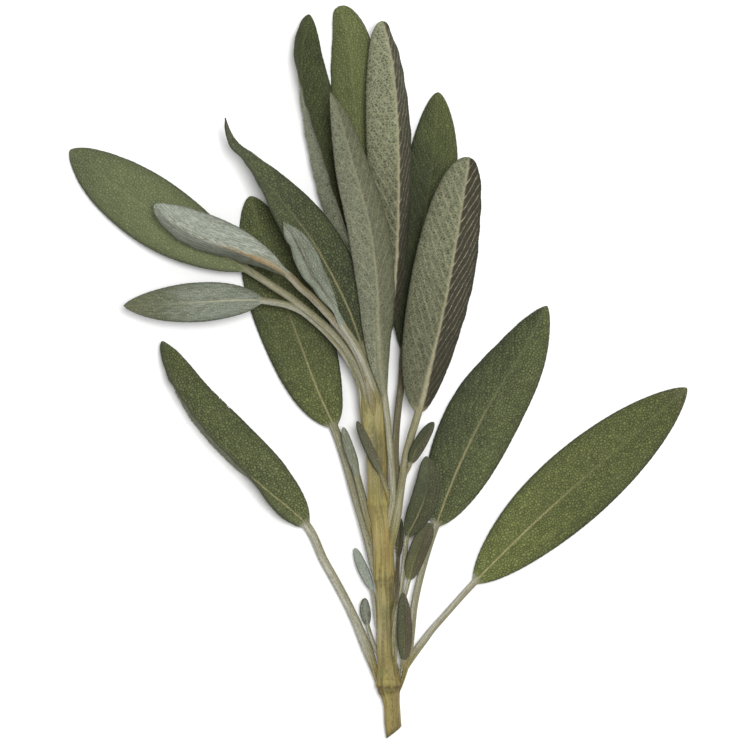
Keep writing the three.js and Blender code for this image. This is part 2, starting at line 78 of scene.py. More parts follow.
# Random numbers: a leaf's or stem's own seed, and how far its pattern is shifted.
LEAF_SEED = 100
STEM_SEED = 40
PATTERN_SHIFT = (100, 900)

# The relief of a leaf.
PEBBLE_PITCH = 0.7          # mm between the pebbles of a blade
PEBBLE_HEIGHT = 0.2
UNDER_PEBBLES = 0.8         # their height on the underside, as a share
ISLAND_PITCHES = 2.7        # pitches across the islands that the pebbles lie in
SIDE_VEIN_SPACING = 3.4
SIDE_VEIN_DEPTH = 0.11
SIDE_VEIN_LEAN = 1.45       # mm along the leaf for each mm out from the midrib
SIDE_VEIN_BEND = 0.05       # how much more it leans towards the margin
SIDE_VEIN_STAGGER = 0.45    # how far the right half's veins are shifted, in spacings
SIDE_VEIN_SQUEEZE = 0.52    # mm across a vein for each mm along the leaf
MIDRIB_DEPTH = 0.24
COCKLE_HEIGHT = 0.09        # height of the blade's broad unevenness
TABLE_CLEARANCE = 0.02      # mm kept between any leaf and the table

Point = tuple[float, float, float]   # a place, in millimetres
Triple = tuple[float, float, float]  # three numbers that belong together
Socket = bpy.types.NodeSocket        # what one node hands to another


class Side(Enum):
    """The two faces of a leaf."""

    UPPER = 1
    UNDER = -1


class Growth(Enum):
    """The age of a leaf, which decides its down and its relief."""

    GROWN = "grown"
    YOUNG = "young"


# ---------------------------------------------------------------- curves
def smoothstep(low: float, high: float, value: np.ndarray) -> np.ndarray:
    """Rises smoothly from 0 at low to 1 at high.

    Args:
        low: Where the rise starts.
        high: Where the rise ends.
        value: The places to read it at.

    Returns:
        The smooth step at each place.
    """
    part = np.clip((value - low) / (high - low), 0.0, 1.0)
    return part * part * (3.0 - 2.0 * part)


def bell(distance: np.ndarray, reach: float) -> np.ndarray:
    """A soft bump of height 1 that fades over `reach` on both sides of zero."""
    return np.exp(-((distance / reach) ** 2))


def flowing(places: Sequence[float], values: Sequence[float], at: np.ndarray) -> np.ndarray:
    """A smooth curve through values that never swings past them.

    Args:
        places: Where the values stand, rising.
        values: The values.
        at: The places to read the curve at.

    Returns:
        The curve at each place.
    """
    x = np.asarray(places, float)
    y = np.asarray(values, float)
    step = np.diff(x)
    slope = np.diff(y) / step
    tangent = np.zeros_like(y)
    same = slope[:-1] * slope[1:] > 0
    between = 2.0 * slope[:-1] * slope[1:] / np.where(same, slope[:-1] + slope[1:], 1.0)
    tangent[1:-1] = np.where(same, between, 0.0)
    tangent[0] = slope[0]
    tangent[-1] = slope[-1]
    at = np.clip(at, x[0], x[-1])
    span = np.clip(np.searchsorted(x, at, side="right") - 1, 0, len(step) - 1)
    width = step[span]
    t = (at - x[span]) / width
    lift = y[span] * (1 + 2 * t) * (1 - t) ** 2 + y[span + 1] * t * t * (3 - 2 * t)
    return lift + width * t * (1 - t) * (tangent[span] * (1 - t) - tangent[span + 1] * t)


def spread(values: Sequence[float], share: np.ndarray) -> np.ndarray:
    """Reads a list laid out evenly from 0 to 1 as a smooth curve.

    Args:
        values: Two or more values.
        share: The places to read, from 0 to 1.

    Returns:
        The curve at each place.
    """
    return flowing(np.linspace(0.0, 1.0, len(values)), values, share)


class Route:
    """A smooth centripetal curve through points, read by its length in millimetres."""

    FINENESS = 4000

    def __init__(self, points: Sequence[Point]) -> None:
        """Works out the spans and the length.

        Args:
            points: The points that the curve passes through.
        """
        inner = np.asarray(points, float)
        first = 2 * inner[0] - inner[1]
        last = 2 * inner[-1] - inner[-2]
        chain = np.vstack([first, inner, last])
        gap = np.sqrt(np.linalg.norm(np.diff(chain, axis=0), axis=1))[:, None]
        p0, p1, p2, p3 = chain[:-3], chain[1:-2], chain[2:-1], chain[3:]
        d0, d1, d2 = gap[:-2], gap[1:-1], gap[2:]
        leave = ((p1 - p0) / d0 - (p2 - p0) / (d0 + d1) + (p2 - p1) / d1) * d1
        arrive = ((p2 - p1) / d1 - (p3 - p1) / (d1 + d2) + (p3 - p2) / d2) * d1
        square = 3 * (p2 - p1) - 2 * leave - arrive
        cube = 2 * (p1 - p2) + leave + arrive
        self.terms = (p1, leave, square, cube)
        self.spans = len(inner) - 1
        self.knobs = np.linspace(0.0, self.spans, self.FINENESS)
        track, _ = self._read(self.knobs)
        steps = np.linalg.norm(np.diff(track, axis=0), axis=1)
        self.lengths = np.concatenate([[0.0], np.cumsum(steps)])

    @property
    def length(self) -> float:
        """The whole length."""
        return float(self.lengths[-1])

    def length_to(self, knot: int) -> float:
        """The length from the start to one of the points."""
        return float(np.interp(knot, self.knobs, self.lengths))

    def _read(self, knob: np.ndarray) -> tuple[np.ndarray, np.ndarray]:
        """Reads places and directions at span numbers with fractions.

        Args:
            knob: Which span, and how far along it as the fraction.

        Returns:
            The places and the directions of unit length, each shaped (count, 3).
        """
        span = np.clip(knob.astype(int), 0, self.spans - 1)
        t = (knob - span)[:, None]
        start, leave, square, cube = (term[span] for term in self.terms)
        place = start + t * (leave + t * (square + t * cube))
        ahead = leave + t * (2 * square + 3 * t * cube)
        return place, ahead / np.linalg.norm(ahead, axis=1, keepdims=True)

    def at(self, distance: np.ndarray) -> tuple[np.ndarray, np.ndarray]:
        """Reads the curve at distances from its start.

        Args:
            distance: Millimetres along the curve.

        Returns:
            The places and the unit directions there.
        """
        return self._read(np.interp(distance, self.lengths, self.knobs))


def lengthwise_frame(ahead: np.ndarray, roll: np.ndarray) -> tuple[np.ndarray, np.ndarray]:
    """Finds the side and face directions along a route.

    Args:
        ahead: Unit directions of travel.
        roll: Degrees by which the section is turned about the direction of travel.

    Returns:
        The directions to the right and out of the face.
    """
    level = np.cross(ahead, UP)
    level /= np.linalg.norm(level, axis=1, keepdims=True)
    lift = np.cross(level, ahead)
    turn = np.radians(roll)[:, None]
    side = level * np.cos(turn) + lift * np.sin(turn)
    face = lift * np.cos(turn) - level * np.sin(turn)
    return side, face


# ---------------------------------------------------------------- finishes
def linear(colour: str) -> tuple[float, float, float, float]:
    """Turns an sRGB hex colour into Blender's linear colour.

    Args:
        colour: Six hex digits after a hash sign.

    Returns:
        Linear red, green, blue and an alpha of 1.
    """
    parts = (int(colour[i:i + 2], 16) / 255 for i in (1, 3, 5))
    red, green, blue = (p / 12.92 if p <= 0.04045 else ((p + 0.055) / 1.055) ** 2.4 for p in parts)
    return red, green, blue, 1.0


def add_node(
    tree: bpy.types.NodeTree,
    kind: str,
    settings: Mapping[str, object] | None = None,
    inputs: Mapping[str | int, object] | None = None,
) -> bpy.types.Node:
    """Adds a node with its settings, values and links.

    Args:
        tree: The node tree that takes it.
        kind: The node's type.
        settings: Properties of the node by name.
        inputs: For each input, by name or number, a value or the socket that feeds it.

    Returns:
        The new node.
    """
    node = tree.nodes.new(kind)
    for name, value in (settings or {}).items():
        setattr(node, name, value)
    for key, value in (inputs or {}).items():
        if isinstance(value, Socket):
            tree.links.new(value, node.inputs[key])
        else:
            node.inputs[key].default_value = value
    return node


def wandering(tree: bpy.types.NodeTree, plan: Socket) -> Socket:
    """Bends the plan a little, so that the pebbles are as uneven as grown ones.

    Args:
        tree: The node tree, of a material or of the relief.
        plan: The lengthwise and crosswise millimetres.

    Returns:
        The bent plan, the same in every tree.
    """
    noise = add_node(
        tree, "ShaderNodeTexNoise", {"noise_dimensions": "2D"}, {"Vector": plan, "Scale": 0.7}
    )
    bend = {0: noise.outputs["Color"], 1: (0.8, 0.8, 0.0), 2: plan}
    return add_node(tree, "ShaderNodeVectorMath", {"operation": "MULTIPLY_ADD"}, bend).outputs[0]


class Shader:
    """A material's node tree, with short words for what the finishes of a plant need."""

    FACTOR, FIRST, SECOND, MIXED = 0, 6, 7, 2

    def __init__(self, name: str) -> None:
        """Starts an empty material.

        Args:
            name: The real material.
        """
        self.material = bpy.data.materials.new(name)
        self.material.use_nodes = True
        self.tree = self.material.node_tree
        self.tree.nodes.clear()

    def mark(self, name: str) -> Socket:
        """Reads a number that the mesh carries at each point."""
        return add_node(self.tree, "ShaderNodeAttribute", {"attribute_name": name}).outputs["Fac"]

    def plan(self) -> Socket:
        """Reads the lengthwise and crosswise millimetres that the mesh carries."""
        node = add_node(self.tree, "ShaderNodeAttribute", {"attribute_name": "plan"})
        return node.outputs["Vector"]

    def stretched(self, along: float, across: float) -> Socket:
        """The plan with its millimetres counted in grains of the given length and width."""
        place = {"Vector": self.plan(), "Scale": (1 / along, 1 / across, 1.0)}
        return add_node(self.tree, "ShaderNodeMapping", {}, place).outputs["Vector"]

    def mix(
        self,
        factor: Socket | float,
        first: object,
        second: object,
        blend: str = "MIX",
    ) -> Socket:
        """Mixes two colours.

        Args:
            factor: The share of the second.
            first: A colour or the socket that gives it.
            second: A colour or the socket that gives it.
            blend: How the second meets the first.

        Returns:
            The mixed colour.
        """
        settings = {"data_type": "RGBA", "blend_type": blend}
        inputs = {self.FACTOR: factor, self.FIRST: first, self.SECOND: second}
        return add_node(self.tree, "ShaderNodeMix", settings, inputs).outputs[self.MIXED]

    def sum(self, operation: str, *values: Socket | float) -> Socket:
        """Does one sum on numbers and keeps the answer between 0 and 1.

        Args:
            operation: Which sum.
            values: What goes in.

        Returns:
            The answer.
        """
        settings = {"operation": operation, "use_clamp": True}
        inputs = dict(enumerate(values))
        return add_node(self.tree, "ShaderNodeMath", settings, inputs).outputs[0]

    def sum_free(self, operation: str, *values: Socket | float) -> Socket:
        """Does one sum on numbers and lets the answer be anything."""
        inputs = dict(enumerate(values))
        return add_node(self.tree, "ShaderNodeMath", {"operation": operation}, inputs).outputs[0]

    def ranged(
        self, value: Socket, start: float, end: float, low: float, high: float
    ) -> Socket:
        """Maps a number from one range to another.

        Args:
            value: The number.
            start: What becomes low.
            end: What becomes high.
            low: The first end of the new range.
            high: The other end of the new range.

        Returns:
            The mapped number, kept inside the new range.
        """
        inputs = {0: value, 1: start, 2: end, 3: low, 4: high}
        return add_node(self.tree, "ShaderNodeMapRange", {}, inputs).outputs[0]

    def noise(
        self, grain: float, place: Socket, detail: float = 2.0, swirl: float = 0.0
    ) -> Socket:
        """Cloudy noise.

        Args:
            grain: The size of a cloud, in the units of place.
            place: Where to read it.
            detail: How many finer layers it has.
            swirl: How far it is bent over itself.

        Returns:
            A number from 0 to 1.
        """
        inputs = {"Vector": place, "Scale": 1 / grain, "Detail": detail, "Distortion": swirl}
        return add_node(self.tree, "ShaderNodeTexNoise", {}, inputs).outputs["Fac"]

    def cells(self, pitch: float) -> tuple[Socket, Socket]:
        """The net of pebbles on the plan.

        Args:
            pitch: Millimetres from pebble to pebble.

        Returns:
            The distance to the nearest gap, in pitches, and a number of each pebble's own.
        """
        place = {"Vector": wandering(self.tree, self.plan()), "Scale": 1 / pitch}
        edge = add_node(
            self.tree,
            "ShaderNodeTexVoronoi",
            {"voronoi_dimensions": "2D", "feature": "DISTANCE_TO_EDGE"},
            place,
        )
        own = add_node(self.tree, "ShaderNodeTexVoronoi", {"voronoi_dimensions": "2D"}, place)
        red = add_node(self.tree, "ShaderNodeSeparateColor", {}, {0: own.outputs["Color"]})
        return edge.outputs["Distance"], red.outputs[0]

    def finish(
        self,
        colour: Socket,
        relief: Socket,
        settings: Mapping[str, object],
        depth: float,
    ) -> bpy.types.Material:
        """Closes the material.

        Args:
            colour: The surface's colour.
            relief: A height from 0 to 1 that tilts the light.
            settings: Fixed values of the surface, such as its roughness.
            depth: Millimetres between the relief's low and high.

        Returns:
            The material.
        """
        bump = add_node(
            self.tree, "ShaderNodeBump", {}, {"Height": relief, "Distance": depth * MM}
        )
        inputs = {"Base Color": colour, "Normal": bump.outputs["Normal"], **settings}
        skin = add_node(self.tree, "ShaderNodeBsdfPrincipled", {}, inputs)
        surface = {"Surface": skin.outputs["BSDF"]}
        add_node(self.tree, "ShaderNodeOutputMaterial", {}, surface)
        return self.material


@dataclass(frozen=True)
class LeafFinish:
    """One face of a sage leaf.

    Attributes:
        name: The real material.
        mature: Colour of the old, dark parts.
        fresh: Colour of the new, bright parts.
        groove: Shade of the gaps between pebbles, as a multiplier.
        crown: Shade of the pebbles' tops, as a multiplier.
        vein: Colour of the midrib and, weaker, of the side veins.
        down: Colour of the down.
        stalk: Colour of the stalk that the blade grows from.
        brown: Colour of the parts that have started to dry, and of the painted shade on a half or
            a stalk turned from the light.
        margin: Colour of the thin rolled edge, and of the painted shade that darkens the blade
            towards it.
        midrib_share: How strongly the midrib shows.
        side_share: How strongly the side veins show.
        pitch: Millimetres from pebble to pebble.
        gap: Width of the gaps between pebbles, in pitches.
        streaks: How strongly the down lies in lengthwise silky streaks.
        root: Colour of the stalk's root, where it joins the bark.
        hoar: Colour of a stalk that is thick with down.
        roughness: Roughness of the surface.
        sheen: Weight of the down's soft light at grazing angles.
    """

    name: str
    mature: str
    fresh: str
    groove: float
    crown: float
    vein: str
    down: str
    stalk: str
    brown: str
    margin: str
    midrib_share: float
    side_share: float
    pitch: float = PEBBLE_PITCH
    gap: float = 0.3
    streaks: float = 0.0
    root: str = "#90854f"
    hoar: str = "#c6c4bb"
    roughness: float = 0.68
    sheen: float = 0.12

    def material(self) -> bpy.types.Material:
        """Makes the material.

        Returns:
            The material, which reads the marks that a leaf's mesh carries.
        """
        shader = Shader(self.name)
        edge, own = shader.cells(self.pitch)
        islands, _ = shader.cells(self.pitch * ISLAND_PITCHES)
        dome = shader.ranged(edge, 0.02, self.gap, 0.0, 1.0)
        dome = shader.sum("MULTIPLY", dome, shader.ranged(islands, 0.0, 0.13, 0.45, 1.0))
        grain = shader.noise(0.28, shader.plan(), 2.0)
        shade = self._pebble_shade(shader, dome, own, grain)
        colour = shader.mix(1.0, self._tissue(shader, grain), shade, "MULTIPLY")
        if self.streaks:
            colour = shader.mix(self._silk(shader), colour, linear(self.down))
        colour = self._veined(shader, colour)
        colour = shader.mix(shader.mark("stalk"), colour, self._stalk(shader))
        settings = {
            "Roughness": self.roughness,
            "Specular IOR Level": 0.28,
            "Sheen Weight": self.sheen,
            "Sheen Roughness": 0.45,
            "Sheen Tint": linear(self.down),
        }
        return shader.finish(colour, shader.mix(0.35, dome, grain), settings, 0.2)

    def _tissue(self, shader: Shader, grain: Socket) -> Socket:
        """The blade's flesh: olive to fresh green, frosted by down, and darkened towards brown
        where it dries and where shade is painted.

        Args:
            shader: The material.
            grain: Fine noise.

        Returns:
            The colour.
        """
        cloud = shader.noise(7.0, shader.plan(), 3.0)
        age = shader.sum("ADD", shader.mark("age"), shader.ranged(cloud, 0.3, 0.7, -0.1, 0.1))
        body = shader.mix(age, linear(self.mature), linear(self.fresh))
        thin = shader.ranged(grain, 0.35, 0.65, 0.5, 1.3)
        downy = shader.sum("MULTIPLY", shader.mark("bloom"), thin)
        colour = shader.mix(downy, body, linear(self.down))
        patches = shader.ranged(shader.noise(3.0, shader.plan(), 2.0), 0.3, 0.7, 0.82, 1.12)
        # The brown mark mixes in the brown colour: real drying, and painted shade on the halves,
        # near the base and in the fold.
        browned_and_shaded = shader.sum("MULTIPLY", shader.mark("brown"), patches)
        return shader.mix(browned_and_shaded, colour, linear(self.brown))

    def _pebble_shade(
        self,
        shader: Shader,
        dome: Socket,
        own: Socket,
        grain: Socket,
    ) -> Socket:
        """The light and shade of the pebbles.

        Args:
            shader: The material.
            dome: 0 in the gaps and 1 on the pebbles.
            own: A number of each pebble's own.
            grain: Fine noise.

        Returns:
            The shade that multiplies the flesh.
        """
        uneven = shader.ranged(own, 0.0, 1.0, -0.42, 0.12)
        uneven = shader.sum_free("ADD", uneven, shader.ranged(grain, 0.3, 0.7, -0.15, 0.15))
        height = shader.sum("ADD", dome, uneven)
        low = (self.groove, self.groove, self.groove, 1.0)
        high = (self.crown * 1.01, self.crown, self.crown * 0.93, 1.0)
        shade = shader.mix(height, low, high)
        patchy = shader.ranged(shader.noise(2.4, shader.plan(), 2.0), 0.3, 0.7, 0.6, 1.15)
        pebbled = shader.sum("MULTIPLY", shader.mark("pebble"), patchy)
        return shader.mix(pebbled, (1.0, 1.0, 1.0, 1.0), shade)

    def _silk(self, shader: Shader) -> Socket:
        """How much of the silky down shows at each point, thickest where the bloom is.

        Args:
            shader: The material.

        Returns:
            The share of down.
        """
        silk = shader.noise(1.0, shader.stretched(5.0, 0.5), 3.0, 2.4)
        silky = shader.ranged(silk, 0.43, 0.61, 0.0, self.streaks)
        thick = shader.ranged(shader.mark("bloom"), 0.0, 0.3, 0.2, 1.0)
        return shader.sum("MULTIPLY", silky, thick)

    def _veined(self, shader: Shader, colour: Socket) -> Socket:
        """Lays the side veins, the midrib and the thin margin over the blade, with painted shade
        that darkens the blade towards the margin.

        Args:
            shader: The material.
            colour: The blade's colour.

        Returns:
            The colour with them.
        """
        broken = shader.ranged(shader.noise(1.6, shader.plan(), 2.0), 0.34, 0.66, 0.3, 1.15)
        side = shader.sum("MULTIPLY", shader.mark("sidevein"), self.side_share)
        side = shader.sum("MULTIPLY", side, broken)
        colour = shader.mix(side, colour, linear(self.vein))
        rib = shader.sum("MULTIPLY", shader.mark("midrib"), self.midrib_share)
        colour = shader.mix(rib, colour, linear(self.vein))
        # Painted shade where the margin rolls under, darkest on the thin edge itself.
        rim = shader.sum("MULTIPLY", shader.mark("margin"), 0.7)
        return shader.mix(rim, colour, linear(self.margin))

    def _stalk(self, shader: Shader) -> Socket:
        """The stalk: pale fibres with dark furrows, bark at its root, painted shade at its edges
        and on a shaded stalk, and pale down laid thicker on one side as painted light.

        Args:
            shader: The material.

        Returns:
            The colour.
        """
        fibre = shader.noise(1.0, shader.stretched(7.0, 0.28), 3.0)
        stalk = shader.mix(shader.mark("root"), linear(self.stalk), linear(self.root))
        # Pale down on the stalk, thicker on the lit side as painted light.
        stalk = shader.mix(shader.mark("frost_and_light"), stalk, linear(self.hoar))
        # Painted shade: a stalk that lies in shade is darkened towards brown.
        stalk = shader.mix(shader.mark("stalk_shade"), stalk, linear(self.brown))
        # The same dark colour serves for the fibres' real furrows and for the painted shade at the
        # stalk's edges.
        furrow_and_shade = shader.mix(1.0, stalk, (0.58, 0.58, 0.5, 1.0), "MULTIPLY")
        stalk = shader.mix(shader.ranged(fibre, 0.35, 0.65, 0.0, 1.0), furrow_and_shade, stalk)
        return shader.mix(shader.mark("edge"), stalk, furrow_and_shade)


@dataclass(frozen=True)
class StemFinish:
    """The bark of a stem or shoot.

    Attributes:
        name: The real material.
        pale: Colour of the ridges.
        deep: Colour of the furrows.
        warm: Colour of the corky, older streaks.
        green: Colour of the patches that are still green.
        scar: Colour of the rings at the nodes.
        fleck: Colour of the small corky spots.
        down: Colour of the down.
        downy: How much of the down shows.
        roughness: Roughness of the surface.
    """

    name: str
    pale: str
    deep: str
    warm: str
    green: str
    scar: str
    fleck: str
    down: str
    downy: float
    roughness: float = 0.62

    def material(self) -> bpy.types.Material:
        """Makes the material.

        Returns:
            The material, which reads the marks that a stem's mesh carries.
        """
        shader = Shader(self.name)
        fibre = shader.noise(1.0, shader.stretched(12.0, 0.75), 3.0, 0.4)
        colour = self._cracked(shader, self._fibres(shader, fibre))
        # The age mark darkens the bark towards brown: drying at the foot and below the rings, and
        # painted shade from the stem's dark patches.
        brown = shader.mix(1.0, colour, (0.36, 0.36, 0.24, 1.0), "MULTIPLY")
        colour = shader.mix(shader.mark("age"), colour, brown)
        speck = shader.ranged(shader.noise(0.9, shader.plan(), 2.0), 0.52, 0.7, 0.0, 1.1)
        spotted = shader.sum("MULTIPLY", speck, shader.mark("spots"))
        colour = shader.mix(spotted, colour, linear(self.fleck))
        fuzz = shader.noise(1.0, shader.stretched(0.9, 0.16), 2.0)
        thick = shader.ranged(fibre, 0.34, 0.6, 0.45, 1.0)
        silver = shader.sum("MULTIPLY", shader.mark("silver"), thick)
        fuzzy = shader.sum("ADD", shader.ranged(fuzz, 0.45, 0.62, 0.0, self.downy), silver)
        colour = shader.mix(fuzzy, colour, linear(self.down))
        colour = shader.mix(shader.mark("ring"), colour, linear(self.scar))
        settings = {
            "Roughness": self.roughness,
            "Specular IOR Level": 0.3,
            "Sheen Weight": 0.1,
            "Sheen Roughness": 0.5,
            "Sheen Tint": linear(self.down),
        }
        return shader.finish(colour, fibre, settings, 0.08)

    def _fibres(self, shader: Shader, fibre: Socket) -> Socket:
        """The bark's own colours: ridges and furrows, green patches and corky streaks.

        Args:
            shader: The material.
            fibre: Lengthwise noise, low in the furrows.

        Returns:
            The colour.
        """
        ridge = shader.ranged(fibre, 0.32, 0.62, 0.0, 1.0)
        colour = shader.mix(ridge, linear(self.deep), linear(self.pale))
        field = shader.noise(1.0, shader.stretched(9.0, 2.4), 2.0, 0.5)
        colour = shader.mix(shader.ranged(field, 0.5, 0.66, 0.0, 0.6), colour, linear(self.green))
        broad = shader.noise(1.0, shader.stretched(16.0, 1.5), 2.0)
        corky = shader.ranged(broad, 0.48, 0.62, 0.0, 0.7)
        streaks = shader.sum("MULTIPLY", corky, shader.ranged(fibre, 0.3, 0.6, 0.4, 1.0))
        colour = shader.mix(streaks, colour, linear(self.warm))
        furrowed = shader.ranged(fibre, 0.3, 0.62, 1.0, 0.35)
        olive = shader.sum("MULTIPLY", shader.mark("olive"), furrowed)
        return shader.mix(olive, colour, linear(self.green))

    def _cracked(self, shader: Shader, colour: Socket) -> Socket:
        """Draws fine dark cracks along the bark.

        Args:
            shader: The material.
            colour: The bark's colour.

        Returns:
            The colour with them.
        """
        fine = shader.noise(1.0, shader.stretched(16.0, 0.34), 2.0, 0.3)
        cracked = shader.mix(1.0, colour, (0.42, 0.42, 0.34, 1.0), "MULTIPLY")
        return shader.mix(shader.ranged(fine, 0.56, 0.66, 0.0, 0.75), colour, cracked)


@dataclass(frozen=True)
class CutFinish:
    """The freshly cut end of a stem: a dark rim, pale wood and brown pith.

    Attributes:
        name: The real material.
        bark: Colour of the rim.
        wood: Colour of the ring of wood.
        pith: Colour of the middle.
    """

    name: str
    bark: str
    wood: str
    pith: str

    def material(self) -> bpy.types.Material:
        """Makes the material.

        Returns:
            The material, which reads how far from the middle each point is.
        """
        shader = Shader(self.name)
        out = shader.mark("radius")
        grain = shader.noise(0.35, shader.plan(), 3.0)
        woody = shader.ranged(out, 0.3, 0.5, 0.0, 1.0)
        colour = shader.mix(woody, linear(self.pith), linear(self.wood))
        colour = shader.mix(shader.ranged(out, 0.8, 0.93, 0.0, 1.0), colour, linear(self.bark))
        colour = shader.mix(shader.ranged(grain, 0.5, 0.7, 0.0, 0.5), colour, linear(self.bark))
        return shader.finish(colour, grain, {"Roughness": 0.8, "Specular IOR Level": 0.2}, 0.08)


# Upper side of a grown leaf: leathery skin pebbled by its veins. The eye sees olive pebbles
# with yellow-green tops, dark gaps, and a pale rib that fades towards the tip.
GROWN_UPPER = LeafFinish(
    name="sage leaf skin, pebbled upper side",
    mature="#343b24",
    fresh="#6f7642",
    groove=0.5,
    crown=1.27,
    vein="#b0a479",
    down="#6c7562",
    stalk="#959173",
    brown="#5c5343",
    margin="#262b1c",
    midrib_share=0.62,
    side_share=0.1,
    gap=0.2,
)

# Underside of a grown leaf: a felt of white hairs over a raised net of veins. The eye sees
# grey green with a pale net and a pale rib.
GROWN_UNDER = LeafFinish(
    name="sage leaf felt, netted underside",
    mature="#454734",
    fresh="#5c5f47",
    groove=1.9,
    crown=0.57,
    vein="#a49d80",
    down="#7d806d",
    stalk="#959173",
    brown="#2d2a1d",
    margin="#2f2d1f",
    midrib_share=0.8,
    side_share=0.55,
    gap=0.3,
    roughness=0.8,
    sheen=0.2,
)

# Both sides of a young leaf: silky hairs lie along it, so the eye sees silver streaks.
YOUNG_UPPER = LeafFinish(
    name="young sage leaf, silky upper side",
    mature="#4c5542",
    fresh="#696846",
    groove=0.6,
    crown=1.3,
    vein="#b4b193",
    down="#969d92",
    stalk="#8b8868",
    brown="#463d26",
    margin="#3f4635",
    midrib_share=0.8,
    side_share=0.16,
    streaks=0.55,
    roughness=0.7,
    sheen=0.25,
)
YOUNG_UNDER = LeafFinish(
    name="young sage leaf, silky underside",
    mature="#4e5746",
    fresh="#656955",
    groove=1.25,
    crown=0.72,
    vein="#94784b",
    down="#a5aba0",
    stalk="#8c8060",
    brown="#41432c",
    margin="#404738",
    midrib_share=0.8,
    side_share=0.2,
    streaks=0.95,
    roughness=0.75,
    sheen=0.3,
)

# Bark of the main stem: lengthwise fibres, olive to straw, with corky orange streaks.
STEM_BARK = StemFinish(
    name="sage stem bark",
    pale="#a19352",
    deep="#5f5830",
    warm="#93753c",
    green="#6c6c38",
    scar="#3d3019",
    fleck="#664a22",
    down="#a39c78",
    downy=0.26,
)

# Skin of the side shoots: green fibres under a pale down.
SHOOT_SKIN = StemFinish(
    name="sage shoot skin",
    pale="#938f66",
    deep="#63603f",
    warm="#8a7850",
    green="#6f714a",
    scar="#544630",
    fleck="#6b5836",
    down="#a5a38a",
    downy=0.5,
)

# The cut end: the pith dries brown first.
CUT_END = CutFinish(
    name="cut sage wood", bark="#5a4c2c", wood="#968358", pith="#776143"
)


@dataclass(frozen=True)
class Finishes:
    """The materials of the sprig, each made once.

    Attributes:
        upper: The upper side of a grown and of a young leaf.
        under: The underside of each.
        bark: The side of the main stem.
        skin: The side of a shoot.
        cut: The cut end.
    """

    upper: Mapping[Growth, bpy.types.Material]
    under: Mapping[Growth, bpy.types.Material]
    bark: bpy.types.Material
    skin: bpy.types.Material
    cut: bpy.types.Material

    @classmethod
    def make(cls) -> "Finishes":
        """Makes every material.

        Returns:
            The finished set.
        """
        return cls(
            upper={Growth.GROWN: GROWN_UPPER.material(), Growth.YOUNG: YOUNG_UPPER.material()},
            under={Growth.GROWN: GROWN_UNDER.material(), Growth.YOUNG: YOUNG_UNDER.material()},
            bark=STEM_BARK.material(),
            skin=SHOOT_SKIN.material(),
            cut=CUT_END.material(),
        )


